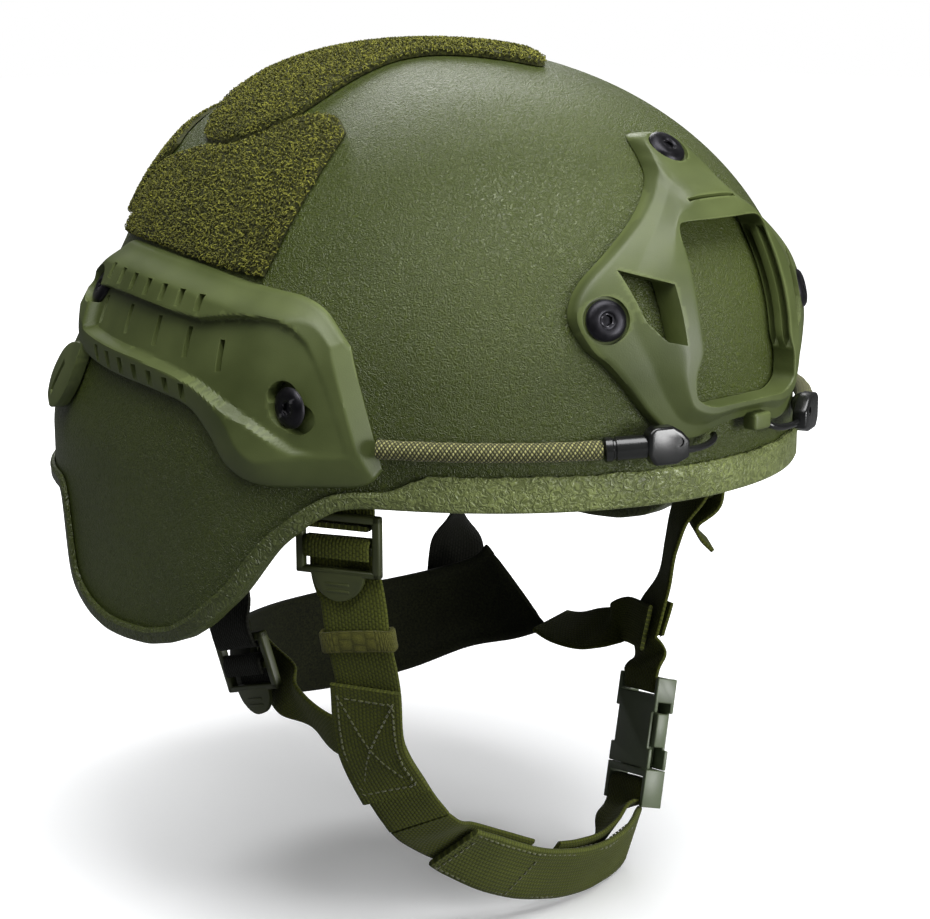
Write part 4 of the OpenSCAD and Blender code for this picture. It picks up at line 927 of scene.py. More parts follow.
# %% Shroud body
RIM_T, FRAME_T, WINDOW_HALF, WING_X, WING_Z, TOP_Z = 4.5, 9.5, 24.0, 51.0, 63.0, 113.0
shroud_half = np.array([
    [[0, TOP_Z + 8], [0, 94]], [[8, TOP_Z + 7], [8, 94]], [[11, TOP_Z + 1], [14.5, 94]],
    [[15, TOP_Z - 6], [WINDOW_HALF - 3.5, 93.5]], [[27, 97], [WINDOW_HALF - 1.5, 91]],
    [[43, 85.5], [WINDOW_HALF - 1, 85]], [[WING_X + 5, WING_Z + 12], [WINDOW_HALF - 0.5, 77]],
    [[WING_X + 10, WING_Z + 2], [WINDOW_HALF, 68]], [[WING_X + 7, WING_Z - 8], [WINDOW_HALF, 60]],
    [[53, 49.5], [WINDOW_HALF, 52]], [[46.5, 41], [WINDOW_HALF + 2.5, 46]],
    [[39, 31], [WINDOW_HALF + 3, 41]],
    [[31, 24], [WINDOW_HALF + 2, 36.5]], [[22, 22.5], [WINDOW_HALF - 5, 33.5]], [[11, 25.5], [9, 33.5]],
    [[0, 26.5], [0, 33.5]]])
other_half = shroud_half[-2:0:-1].copy()
other_half[:, :, 0] *= -1
stations = np.concatenate([shroud_half, other_half])
STATION_STEPS = 12
wrapped = np.concatenate([stations[-1:], stations, stations[:2]])
fine_stations = curve(wrapped, STATION_STEPS)[STATION_STEPS:(len(stations) + 1) * STATION_STEPS]


def shroud_height(x, z, f):
    """Height of the shroud's top face above the skin."""
    h = np.interp(f, [0, 0.03, 0.4, 0.46, 0.7, 0.76, 1],
        [RIM_T - 0.6, RIM_T, 5.9, 6.5, 9.0, FRAME_T, FRAME_T])
    ledge = ease((15.5 - np.abs(x)) / 4) * ease((z - 98) / 6) * ease((127 - z) / 6)
    seat_t = ease((z - 103) / 8) * ease((14 - np.abs(x)) / 4)
    h = h * (1 - 0.35 * seat_t) + 6.4 * 0.35 * seat_t
    return h + 1.1 * ledge * (1 - 0.75 * seat_t)


shroud_rings = []
shares = np.concatenate([[0.0], np.linspace(0.02, 0.97, 30)])
for station_out, station_in in fine_stations:
    wide = np.linalg.norm(station_in - station_out)
    side = float(ease((station_in[1] - 47) / 4) * ease((90 - station_in[1]) / 4)
        * ease((abs(station_in[0]) - 19) / 2))
    ring = []
    for f in shares:
        x, z = station_out + (station_in - station_out) * f
        ring.append(brow(x, z, shroud_height(x, z, f)))
    deep = 4.2 * side / wide
    rail = -0.6 * side / wide
    wall_line = [(1 - 0.25 / wide, FRAME_T - 0.1), (1, FRAME_T - 0.6), (1, 8.8), (1 - deep, 8.5),
        (1 - deep, 6.3),
        (1 - rail, 6.1), (1 - rail, 3.5), (1 - 0.8 * deep, 3.3), (1 - 0.8 * deep, 1.2), (1, 1.0), (1, SEAT)]
    for f, h in wall_line:
        x, z = station_out + (station_in - station_out) * f
        ring.append(brow(x, z, h))
    for f in (0.8, 0.5, 0.2, 0.0):
        x, z = station_out + (station_in - station_out) * f
        ring.append(brow(x, z, SEAT))
    ring.append(brow(*station_out, RIM_T - 2.2))
    shroud_rings.append(ring)
shroud = loft("front_shroud", shroud_rings, moulded_green, round_closed=True, sharp=40)
print("shroud rings", np.array(shroud_rings).shape)

# %% Screw seats and wing pockets
wing_a = math.degrees(math.atan2(WING_X, -brow(WING_X, WING_Z)[1]))
wing_places = [[skin(s * wing_a, WING_Z), skin_normal(s * wing_a, WING_Z), (0, 0, 1)] for s in (1, -1)]
top_place = [skin(0, TOP_Z), skin_normal(0, TOP_Z), (0, 0, 1)]
shroud_places = wing_places + [top_place]
pocket = [[31.5, 75], [46, 80], [44.6, 74], [43, 66], [42, 63], [38, 58], [36.5, 56.5], [30.5, 55]]


def pocket_cutter(side):
    rings = [[(side * x, y, z) for x, z in pocket] for y in (-170, -60)]
    return loft("cutter", rings, black_nylon)


SCREW_SEAT_R, HOLE_R = 8.0, 2.9
cutters = [ring_cutter(p, SCREW_SEAT_R, RIM_T - 0.5, 24) for p in shroud_places] + [pocket_cutter(s)
    for s in (-1, 1)]
cutters += [ring_cutter(p, HOLE_R, -10, 24) for p in shroud_places]
LEDGE_Z, LEDGE_GAP = 100.6, (25, 1.3, 5.2)
cutters.append(box_cutter([skin(0, LEDGE_Z, 8.6), skin_normal(0, LEDGE_Z), (1, 0, 0)], LEDGE_GAP))
carved(shroud, cutters)
softened(shroud, 0.35, 2, 42)

# %% Lanyard lug and catch
LUG_X, LUG_HOLE, LUG_T = 27.5, 2.2, 4.0
lug_y, lug_z = brow(LUG_X, 26.5, FRAME_T)[1] - 4, 27.5
lug_turn = round_turn(40)
lug_ring = [[(LUG_X + x, lug_y + r * math.cos(t), lug_z + r * math.sin(t)) for t in lug_turn]
    for x, r in ((-2, 4.5), (-1.5, 5), (1.5, 5), (2, 4.5))]
lug_round = loft("lug", lug_ring, moulded_green)
lug_foot = box_cutter([(LUG_X, lug_y + 5, lug_z), *UPRIGHT], (LUG_T, 10, 2 * LUG_HOLE + 3))
catch_y = brow(6, 26.5, FRAME_T)[1] + 3
catch = softened(box_cutter([(6, catch_y, 25), *UPRIGHT], (9, 6, 6)), 1.2, 3)
lug = joined("lug_solid", [lug_round, softened(lug_foot, 0.6)])
carved(lug, [ring_cutter([(LUG_X, lug_y, lug_z), (1, 0, 0), (0, 0, 1)], LUG_HOLE, -6, 6, 40)])
ready(joined("front_shroud", [shroud, lug, catch]), "helmet", "moulded_green", "shroud")


# %% [markdown]
# ## Side rails
# A rail carries lamps and cameras. Raised bands with notches frame a sunk floor with slots, and the
# front bolt has a longer slot, so it can be set. The outline and the edge of the floor are lines on the
# skin, and the height of a point follows from how far it lies from them. The cuts are made afterwards.

# %% Rail body
RAIL_T, CHANNEL_T, BOLT_AHEAD, BOLT_Z, REAR_BOLT_A, REAR_BOLT_Z = 9.0, 4.5, 49.0, 34.0, 122.0, 60.0
BOLT_HEAD_X = HALF_W + 1.2
rail_plan = np.array([[[59.4, 54.6], [54.4, 13.5]], [[63.7, 65], [57.3, 8.2]], [[68, 69.3], [66, 6.6]],
    [[73, 70.8], [73.8, 6.6]], [[78, 71.9], [78.6, 12.0]], [[84, 73.5], [82.2, 22.5]],
    [[90, 75.2], [86.8, 30.2]],
    [[98, 76.8], [95.5, 33.4]], [[106, 78], [105, 35.2]], [[113, 78.7], [112.5, 37]],
    [[119, 79], [118.5, 39]],
    [[123, 78.5], [123, 42]], [[126.5, 73.5], [126.5, 46]]])
rail_floor = np.array([[121.5, 63], [114.5, 64.2], [105, 63.5], [97.4, 62.2], [91, 61], [86, 60.2],
    [83, 61.3],
    [78.5, 62.6], [74, 62.6], [71, 62], [68.4, 60], [65.9, 55.4], [64.2, 49.7], [62.7, 42.4], [61.3, 33.4],
    [59.9, 24.4], [59.2, 18.5], [63.9, 18.4], [67.6, 19.3], [70.4, 23.2], [74.1, 27.9], [78, 31.9],
    [82.3, 36.8],
    [84.9, 39.4], [89.9, 41.7], [97.1, 44.3], [103.9, 45.7], [111.6, 47.3], [117.5, 48.5]])
MM_A_DEGREE = 2.15
rail_top, rail_low = curve(rail_plan[:, 0], 16), curve(rail_plan[:, 1], 16)
fine_v = np.unique(np.concatenate([np.linspace(0, 1, 69), [0.006, 0.02, 0.98, 0.994]]))[:, None]
rail_a = rail_top[:, 0] + (rail_low[:, 0] - rail_top[:, 0]) * fine_v
rail_z = rail_top[:, 1] + (rail_low[:, 1] - rail_top[:, 1]) * fine_v


def far_from(line, closed=False):
    """Distance in millimetres from each point of the rail's grid to a line on the skin."""
    ends = np.asarray(line, float) * (MM_A_DEGREE, 1)
    ends = np.concatenate([ends, ends[:1]]) if closed else ends
    at = np.stack([rail_a * MM_A_DEGREE, rail_z], -1)
    nearest = np.full(rail_a.shape, 1e6)
    for p, q in zip(ends[:-1], ends[1:]):
        t = np.clip(((at - p) @ (q - p)) / ((q - p) @ (q - p)), 0, 1)
        nearest = np.minimum(nearest, np.linalg.norm(at - p - t[..., None] * (q - p), axis=-1))
    return nearest


def within(line):
    """True for the points of the rail's grid inside a closed line."""
    inside = np.zeros(rail_a.shape, bool)
    for (xa, za), (xb, zb) in zip(line, np.roll(line, -1, 0)):
        crossed = (za > rail_z) != (zb > rail_z)
        inside ^= crossed & (rail_a < (xb - xa) * (rail_z - za) / (zb - za if zb != za else 1) + xa)
    return inside


crest = 5.6 + 3.2 * ease((rail_a - 63) / 10)
band = 7.8 + 1.2 * ease((rail_a - 66) / 16)
rail_rise = np.minimum(3 + (band - 3) * ease(far_from(rail_top) / 8),
    3.4 + (crest - 3.4) * np.minimum(1, far_from(rail_low) / 10.5) ** 0.75)
from_front = far_from([rail_top[0], rail_low[0]])
rail_rise = np.minimum(rail_rise, 1.4 + (band - 0.8) * np.minimum(1, from_front / 9.4))
rail_rise = np.minimum(rail_rise, 3 + (band - 3) * ease(far_from([rail_top[-1], rail_low[-1]]) / 5))
floor_depth = far_from(rail_floor, True) * np.where(within(rail_floor), 1, -1)
floor_h = CHANNEL_T + 0.9 * (1 - ease((rail_a - 72) / 10))
rail_h = floor_h + (rail_rise - floor_h) * (1 - ease((floor_depth + 0.7) / 1.9))
near_edge = np.minimum(far_from(rail_top), far_from(rail_low))
rail_h *= 1 - 0.5 * np.clip(1 - near_edge / 1.2, 0, 1) ** 2
rail_points, rail_base = skin(rail_a, rail_z, rail_h), skin(rail_a, rail_z, SEAT)
rail = slab("rail", rail_points, rail_base, moulded_green)

# %% Rail loop, bolt seat and cuts
loop_rows = np.array([[[119, 42], [119, 36]], [[124, 41], [119.5, 27]], [[128.5, 36], [121.5, 20]],
    [[130.5, 27], [124, 16.5]], [[129, 19.5], [126, 16.2]]])
loop_out, loop_in = curve(loop_rows[:, 0], 6), curve(loop_rows[:, 1], 6)
loop_share = np.linspace(0, 1, 13)[:, None]
loop_a = loop_out[:, 0] + (loop_in[:, 0] - loop_out[:, 0]) * loop_share
loop_z = loop_out[:, 1] + (loop_in[:, 1] - loop_out[:, 1]) * loop_share
rail_loop = slab("rail_loop", skin(loop_a, loop_z, CHANNEL_T + 1), skin(loop_a, loop_z, 2 * SEAT),
    moulded_green)


def on_skin(a, z, off=0.0, spin=0.0):
    """Local frame on the skin: across runs up the skin, turned by spin."""
    normal = skin_normal(a, z)
    up_way, side_way, out = frame_of(normal, (0, 0, 1))
    t = math.radians(spin)
    return [skin(a, z, off), out, up_way * math.cos(t) + side_way * math.sin(t)]


carved(rail_loop, [box_cutter(on_skin(125.8, 27, CHANNEL_T, -28), (15, 3.4, 16))])
softened(rail_loop, 0.7, 3)
bolt_out = [(-BOLT_HEAD_X, -BOLT_AHEAD, BOLT_Z), (-1, 0, 0), (0, 0, 1)]
seat_ring = ring_cutter(bolt_out, 4.6, -1.8, 0)
rail_cuts = [ring_cutter(bolt_out, 7.3, 0, 20), ring_cutter(bolt_out, HOLE_R, -20, 20)]
for way in (-1, 1):
    slot_end = (-BOLT_HEAD_X, -BOLT_AHEAD + way * 2.9, BOLT_Z + way * 3.7)
    rail_cuts.append(ring_cutter([slot_end, (-1, 0, 0), (0, 0, 1)], 5.2, -3, 20))
rear_place = on_skin(REAR_BOLT_A, REAR_BOLT_Z)
rail_cuts += [ring_cutter(rear_place, 7.6, CHANNEL_T - 1, 24), ring_cutter(rear_place, HOLE_R, -10, 24)]
NOTCH_N, notches = 7, []
for f in (k / (NOTCH_N - 1) for k in range(NOTCH_N)):
    notches.append(box_cutter(on_skin(116 - 29.2 * f, 69.9 - 4.2 * f, RAIL_T), (6.4, 3.2, 6.4)))
    notches.append(box_cutter(on_skin(111 - 24.2 * f, 42.2 - 6.4 * f, RAIL_T), (6.4, 3.2, 8)))
for a, z, lean in ((116.5, 55.6, 16), (106.2, 55.2, 10), (97, 53.6, 6), (88.7, 51.8, 4), (81.2, 48.9, 2)):
    notches.append(box_cutter(on_skin(a, z, CHANNEL_T, lean), (11, 2.4, 7)))
rail_cuts.append(joined("notches", notches))
carved(rail, rail_cuts)
softened(rail, 0.4, 2, 38)
rail_right = joined("rail_right_moulding", [rail, rail_loop, seat_ring])
rail_left = mirror_copy("rail_left_moulding", rail_right)
ready(rail_right, "helmet", "moulded_green", "rail_right")
ready(rail_left, "helmet", "moulded_green", "rail_left")


# %% [markdown]
# ## Screws and nuts
# All screws are alike: a low button head with a hexagon recess, in black oxide. Geometry Nodes place
# one model at every seat: a point for each screw, with a vector that says which way it faces.

# %% One screw and one nut, placed by a tree
def turned_part(name, profile, sides=48):
    """A turned solid from pairs of radius and height, in millimetres."""
    turns = round_turn(sides)
    rings = [[(r * math.cos(t), r * math.sin(t), h) for t in turns] for r, h in profile]
    return loft(name, rings, black_steel, sharp=30)


HEAD_R, HEAD_T, SHANK_R = 7.0, 2.6, 2.5


def screw_model(length):
    model = turned_part("screw", [(SHANK_R, -length), (SHANK_R, -0.05), (HEAD_R - 0.3, 0), (HEAD_R, 0.3),
        (HEAD_R, 1.0),
        (HEAD_R - 0.3, 1.5), (HEAD_R - 1.1, 2.15), (HEAD_R - 2.2, 2.5), (HEAD_R - 3.2, HEAD_T),
        (HEAD_R - 3.5, HEAD_T), (2.9, HEAD_T), (2.75, HEAD_T - 0.08),
        (2.35, HEAD_T - 0.45), (0.5, HEAD_T - 0.45)])
    hexagon = ring_cutter([(0, 0, 0), *UPRIGHT], 2.0, HEAD_T - 1.5, 5, 6)
    return carved(model, [hexagon])


def nut_model():
    model = turned_part("nut", [(6.2, 0.0), (6.5, 0.2), (6.5, 1.0), (6.2, 1.2), (3, 1.2), (3, 0)])
    body = turned_part("nut_body", [(4.3, -2.4), (4.6, -2.2), (4.6, 0.1), (4.3, 0.1)], 6)
    made = joined("nut", [model, body])
    return carved(made, [ring_cutter([(0, 0, 0), *UPRIGHT], SHANK_R + 0.05, -6, 6, 32)])


seat_tree, seat_in = open_tree("fastener_places", ("Fastener", "NodeSocketObject"))
faces_way = add(seat_tree, "GeometryNodeInputNamedAttribute", {"Name": "aim"}, data_type="FLOAT_VECTOR")
turned_to = add(seat_tree, "FunctionNodeAlignRotationToVector", {"Vector": faces_way.outputs[0]}, axis="Z")
set_there = laid(seat_tree, seat_in["Geometry"], seat_in["Fastener"], turned_to.outputs[0])
close_tree(seat_tree, set_there.outputs[0], black_steel)


def fasteners(name, model, places, node):
    """One model at each place, an origin and a direction."""
    data = bpy.data.meshes.new(name)
    data.from_pydata([(np.asarray(p[0]) * MM).tolist() for p in places], [], [])
    aims = data.attributes.new("aim", "FLOAT_VECTOR", "POINT")
    aims.data.foreach_set("vector", np.array([unit(p[1]) for p in places], np.float32).ravel())
    made = linked(name, data)
    grown(made, seat_tree, Fastener=model)
    made.data.set_sharp_from_angle(angle=math.radians(30))
    bpy.data.objects.remove(model)
    ready(made, "helmet", "black_steel", node)


def raised(place, off):
    return [np.asarray(place[0]) + unit(place[1]) * off, place[1]]


fasteners("shroud_button_screws", screw_model(RIM_T + WALL + 3),
    [raised(p, RIM_T - 0.48) for p in shroud_places],
    "shroud_screws")
fasteners("shroud_flange_nuts", nut_model(), [raised(p, -WALL - 1.2 - 2 * SEAT) for p in shroud_places],
    "shroud_nuts")
TAB_X, WEB_T, WEB_W = 101.0, 1.8, 25.0
bolt_places = [[(s * (BOLT_HEAD_X + 0.02), -BOLT_AHEAD, BOLT_Z), (s, 0, 0)] for s in (-1, 1)]
fasteners("front_button_bolts", screw_model(BOLT_HEAD_X - TAB_X + 5), bolt_places, "front_bolts")
nut_x = TAB_X - WEB_T / 2 - 1.6
fasteners("front_flange_nuts", nut_model(), [[(s * nut_x, -BOLT_AHEAD, BOLT_Z), (s, 0, 0)]
    for s in (-1, 1)], "front_nuts")
rear_places = [rear_place, on_skin(-REAR_BOLT_A, REAR_BOLT_Z)]
fasteners("rear_button_bolts", screw_model(CHANNEL_T + WALL + 5),
    [raised(p, CHANNEL_T - 0.98) for p in rear_places],
    "rear_bolts")
fasteners("rear_flange_nuts", nut_model(), [raised(p, -WALL - WEB_T - 3) for p in rear_places], "rear_nuts")


# %% [markdown]
# ## Webbing
# A strap is a given path, and the direction of its width at each point. The section is a
# flat oval with soft edges. A strap of real cloth is never quite straight, so its surface is given
# waves of about a quarter of a millimetre.

# %% Ribbons
def section_of(width, thick):
    """Points round a strap's section: across and lift, from one edge over the top and back."""
    flat = np.linspace(-1, 1, 9)
    edge = thick / 2
    top = [(x * (width / 2 - edge), edge) for x in flat]
    right = [(width / 2 - edge * 0.3, edge * 0.7), (width / 2, 0), (width / 2 - edge * 0.3, -edge * 0.7)]
    return top + right + [(x, -y) for x, y in reversed(top)] + [(-x, -y) for x, y in right]


def ribbon_rings(p, across, width, thick, steps, lift=0.0, first=0, last=None, waves=0.3, seed=0.0):
    q, d = curve(p, steps), curve(across, steps)
    listed = hasattr(width, "__len__")
    wide = curve(np.array([[w] for w in width]), steps)[:, 0] if listed else np.full(len(q), width)
    e = len(q) - 1
    last = e if last is None else last
    run = np.concatenate([[0], np.cumsum(np.linalg.norm(np.diff(q, axis=0), axis=1))])
    rings = []
    for i in range(first, last + 1):
        t = unit(q[min(e, i + 1)] - q[max(0, i - 1)])
        w = unit(d[i] - (d[i] @ t) * t)
        up = np.cross(t, w)
        calm = min(1.0, (i - first) / 6, (last - i) / 6) * waves
        ring = []
        for x, y in section_of(wide[i], thick):
            wave = calm * (math.sin(run[i] / 7 + seed + x / 9) * 0.6
                + math.sin(run[i] / 3.1 + seed * 2 - x / 5) * 0.25)
            ring.append(q[i] + w * x + up * (lift + y + wave))
        rings.append(ring)
    return np.array(rings), run[first:last + 1], [x for x, y in section_of(WEB_W, thick)]


# Steps between two points of a strap's route, in its mesh here and in the CAD part
STRAP_STEPS, CAD_STEPS = 8, 3


def strap(name, p, across, width=WEB_W, thick=WEB_T, steps=STRAP_STEPS, finish=None, **more):
    rings, run, lie = ribbon_rings(p, across, width, thick, steps, **more)
    return loft(name, rings, finish or webbing, across=lie + lie[:1], along=run, sharp=70)


def times(v, n):
    return [list(v)] * n


def routed(place, route):
    return [placed(place, (0, out, up)).tolist() for out, up in route]


def across_of(place):
    return frame_of(place[1], place[2])[0].tolist()


LOCK_W, LOCK_H, LOCK_T = 32.0, 22.0, 3.4
turn_22 = math.radians(22)
front_across = [math.sin(turn_22), -math.cos(turn_22), 0]
lock_right = [[-102.7, -51.1, -16], [0, 0, 1], [-v for v in front_across]]
lock_left = [[101.6, -50.6, -15.5], [0.1, -0.1, 0.98], [-math.sin(turn_22), -math.cos(turn_22), 0]]
nape_lock_r = [[-94.2, 10, -74], [-0.1, 0.3, 0.95], [0, 1, 0.3]]
nape_lock_l = [[78.9, 73.3, -101], [0.03, 0.05, 1], [0.66, -0.75, 0]]
gap = LOCK_T / 2 + WEB_T / 2 + 0.35
bar = LOCK_H / 2 - 1.4
tab_wrap = [[-gap, bar + 4], [-gap, bar - 1], [-gap * 0.8, bar - 2.7], [-0.6, bar - 3.3], [1.3, bar - 3.2]]
bar_wrap = [[gap, bar + 5], [gap, bar - 1], [gap * 0.8, bar - 2.7], [0.6, bar - 3.3], [-1.3, bar - 3.2]]
lock_pass = [[2.6, -4.4], [2.7, -0.1], [1.2, 2], [-1.4, 1.9], [-2.75, -0.4], [-gap, -4], [-gap, -10]]

# %% Front tabs, with the bolt's hole
def front_tab(name, s, lock, node):
    route = [[s * TAB_X, -BOLT_AHEAD, BOLT_Z + up] for up in (9, 6, 0, -16)]
    route += [[s * (TAB_X - 0.8), -BOLT_AHEAD - 0.2, BOLT_Z - 24]] + routed(lock, tab_wrap)
    widths = [7, 15, 18, 18, 18] + [WEB_W - 1] * len(tab_wrap)
    piece = strap(name, route, times([0, -s, 0], 5) + times(across_of(lock), len(tab_wrap)), widths,
        waves=0.0, steps=6)
    bolt = [(s * TAB_X, -BOLT_AHEAD, BOLT_Z), (s, 0, 0), (0, 0, 1)]
    carved(piece, [ring_cutter(bolt, HOLE_R, -12, 12, 40)])
    ready(piece, "chin_harness", "webbing", node)


front_tab("tab_webbing_right", -1, lock_right, "front_tab_right")
front_tab("tab_webbing_left", 1, lock_left, "front_tab_left")

# %% Front straps
strap_right = routed(lock_right, lock_pass) + [[-99.8, -53, -31], [-99.6, -54.8, -38], [-99.3, -56.6, -50],
    [-95.5, -57, -67], [-88.5, -52, -92], [-78, -53, -112.5], [-68.5, -54.3, -126.5]]
strap_right_w = times(front_across, len(lock_pass) + 4) + [[0.4, -0.92, 0.1], [0.5, -0.85, 0.2],
    [0.5, -0.8, 0.3]]
left_across = [-0.68, -0.73, 0]
buckle = [[62.2, -47.8, -141.3], [15, 4.5, 50], [-0.37, -0.93, 0]]
WEB_BAR, SOCKET_L = 4.0, 37.0
wrap_y = -WEB_BAR / 2 - WEB_T / 2 - 0.35
slot_z = SOCKET_L - 7.5
socket_wrap = routed(buckle, [[wrap_y - 0.1, SOCKET_L + 2], [wrap_y - 0.1, slot_z + 3.6],
    [wrap_y * 0.8, slot_z + 2.1],
    [wrap_y * 0.25, slot_z + 1.7], [1.2, slot_z + 1.8]])
strap_left = routed(lock_left, lock_pass) + [[96.6, -46.3, -31], [94, -42, -43], [91, -40.5, -55],
    [87, -40.5, -68], [81, -39, -80], [77.6, -38.5, -91], [75.6, -41.5, -98]]
strap_left_w = times(across_of(lock_left), len(lock_pass) + 1) + [[-0.6, -0.8, 0], left_across, left_across,
    [-0.5, -0.86, 0], [-0.5, -0.86, 0], [-0.4, -0.9, 0.1]]
ready(strap("front_webbing_right", strap_right, strap_right_w, seed=1.0), "chin_harness", "webbing",
    "front_strap_right")
ready(strap("front_webbing_left", strap_left + socket_wrap,
    strap_left_w + times(across_of(buckle), len(socket_wrap)),
    seed=2.0), "chin_harness", "webbing", "front_strap_left")


def strap_frame(p, across, i):
    """Frame of a strap at one of the CAD part's smoothed steps: origin, up and across."""
    q = curve(p, CAD_STEPS)
    return [q[i], unit(q[i - 1] - q[i + 1]), unit(curve(across, CAD_STEPS)[i])]


def strap_step(i):
    """The step of a strap's mesh at a step of the CAD part."""
    return i * STRAP_STEPS // CAD_STEPS


# %% Patches, the loose end and the elastic keeper
PATCH_LIFT = WEB_T + 0.7
ready(strap("junction_webbing_right", strap_right, strap_right_w, WEB_W + 2, lift=PATCH_LIFT,
    first=strap_step(30),
    last=strap_step(36), waves=0.2), "chin_harness", "webbing", "junction_patch_right")
ready(strap("junction_webbing_left", strap_left, strap_left_w, WEB_W + 1, lift=-PATCH_LIFT,
    first=strap_step(32),
    last=strap_step(36), waves=0.2), "chin_harness", "webbing", "junction_patch_left")
tail_left = routed(lock_left, [[3.6, -6.5], [3.3, -11], [3.3, -20]]) + [[98.8, -45.8, -44.5],
    [99.6, -46.8, -50],
    [103.4, -50.4, -55.5]]
ready(strap("loose_end_left", tail_left, times(across_of(lock_left), 3) + times(left_across, 3), WEB_W - 3,
    steps=10),
    "chin_harness", "webbing", "strap_tail_left")


def band_round(name, place, width, thick, wall, height):
    """A band of elastic round a strap: a flat oval ring along the frame's up direction."""
    rings = []
    for grow, h in ((0, -height / 2), (wall * 0.8, -height / 2), (wall, -height / 2 + 0.6),
            (wall, height / 2 - 0.6),
            (wall * 0.8, height / 2), (0, height / 2)):
        ring = []
        for k in range(40):
            t = 2 * math.pi * k / 40
            x = math.copysign(abs(math.cos(t)) ** 0.35, math.cos(t)) * (width / 2 + grow)
            y = math.copysign(abs(math.sin(t)) ** 0.6, math.sin(t)) * (thick / 2 + grow)
            ring.append(placed(place, (x, y, h + 0.25 * math.sin(3 * t))))
        rings.append(ring)
    round_mm = np.linspace(0, 2 * (width + thick), 41)
    return loft(name, rings, knit_elastic, round_closed=True, across=round_mm,
        along=np.arange(7) * height / 5)


KEEPER_STEP, KEEPER_WALL, KEEPER_H = 27, 1.5, 7.5
keeper_at = strap_frame(strap_right, strap_right_w, KEEPER_STEP)
keeper = band_round("keeper_elastic", keeper_at, WEB_W + 0.9, WEB_T + 1.1, KEEPER_WALL, KEEPER_H)
ready(keeper, "chin_harness", "webbing", "keeper_right")


# %% [markdown]
# ## Rear straps and nape loops
# The rear straps start at a bored plate inside the shell, behind the rear bolts, and end in the nape
# locks. A short loop of webbing ties each nape lock to the band.

# %% Rear straps
REAR_OFF, REAR_PLATE = -WALL - 1.3 - WEB_T / 2, 14.0


def rear_start(s):
    z = skin_normal(s * REAR_BOLT_A, REAR_BOLT_Z)
    x = unit(np.array([0, 0, 1]) - z[2] * z)
    middle = skin(s * REAR_BOLT_A, REAR_BOLT_Z) + z * REAR_OFF
    return [(middle + x * up).tolist() for up in (12.4, 9.5, 5, -5, -REAR_PLATE)]


rear_right = rear_start(1) + [[-98, 66, 26], [-98.5, 50, -6], [-97, 31, -30],
    [-96, 20, -48]] + routed(nape_lock_r, bar_wrap)
rear_left = rear_start(-1) + [[97, 76, 22], [95.5, 81.5, -8], [92.5, 83.5, -36], [89, 82, -60],
    [86, 79, -76]]
rear_left += routed(nape_lock_l, bar_wrap)
rear_right_w = times([0.58, 0.8, 0], 5) + [[0.45, 0.85, 0], [0.3, 0.95, 0.1], [0.1, 0.95, 0.2], [0, 1, 0.3]]
rear_right_w += times(across_of(nape_lock_r), len(bar_wrap))
rear_left_w = times([0.58, -0.8, 0], 5) + [[0.95, -0.2, 0], [0.85, 0.5, 0], [0.72, 0.7, 0], [0.78, 0.6, 0],
    [0.85, -0.45, 0]]
rear_left_w += times(across_of(nape_lock_l), len(bar_wrap))
rear_wide = [6, 16, 23, 25, 25]
for name, s, route, across, node in (("rear_webbing_right", 1, rear_right, rear_right_w,
        "rear_strap_right"),
        ("rear_webbing_left", -1, rear_left, rear_left_w, "rear_strap_left")):
    piece = strap(name, route, across, rear_wide + [WEB_W] * (len(route) - 5), finish=black_web, waves=0.0,
        seed=3.0 + s)
    bolt = on_skin(s * REAR_BOLT_A, REAR_BOLT_Z)
    carved(piece, [ring_cutter(bolt, HOLE_R, -30, 10, 40)])
    ready(piece, "helmet", "webbing", node)
for name, lock, node in (("nape_webbing_right", nape_lock_r, "nape_loop_right"),
        ("nape_webbing_left", nape_lock_l, "nape_loop_left")):
    piece = strap(name, routed(lock, lock_pass), times(across_of(lock), len(lock_pass)), WEB_W - 1,
        finish=black_web, waves=0.0)
    ready(piece, "helmet", "webbing", node)


# %% [markdown]
# ## Nape band and lower straps
# The band is a strip of foam in black brushed cloth, about 5 mm thick, with a bound edge. The lower
# straps leave its ends and are sewn to the front straps.

# %% Nape band
nape_top = curve([[79, 54, -70], [77, 60, -76], [70, 73, -82], [55, 88, -87], [30, 99, -89], [0, 103, -90],
    [-33, 87, -86],
    [-58, 61, -79], [-77, 37, -69], [-85, 21, -61]], 10)
nape_low = curve([[84, 22, -103], [83, 40, -111], [76, 62, -118], [60, 83, -129], [32, 98, -134],
    [0, 103, -131],
    [-33, 87, -116], [-58, 60, -104], [-79, 32, -94], [-88, 8, -89]], 10)
band_share = np.array([0, 0.02, 0.06, 0.1, 0.13, 0.2, 0.35, 0.5, 0.65, 0.8, 0.87, 0.9, 0.94, 0.98, 1])
band_swell = np.array([0.3, 0.6, 0.75, 0.72, 0.5, 0.8, 0.97, 1, 0.97, 0.8, 0.5, 0.72, 0.75, 0.6, 0.3])
BAND_HALF_T = 2.5
band_rings, e = [], len(nape_top) - 1
for i in range(e + 1):
    a, b = max(0, i - 1), min(e, i + 1)
    ahead_mid = nape_top[b] + nape_low[b] - nape_top[a] - nape_low[a]
    normal = unit(np.cross(nape_top[i] - nape_low[i], ahead_mid)) * BAND_HALF_T
    line = nape_top[i] + (nape_low[i] - nape_top[i]) * band_share[:, None]
    end_soft = 0.55 + 0.45 * min(1, i / 4, (e - i) / 4)
    ripple = 1 + 0.05 * math.sin(i * 0.9) * np.sin(band_share * 9)
    lift = (band_swell * ripple * end_soft)[:, None] * normal
    band_rings.append(np.concatenate([line + lift, (line - lift)[::-1]]))
band = loft("nape_band_padding", band_rings, band_cloth, sharp=70)
ready(band, "helmet", "band_fabric", "nape_band")

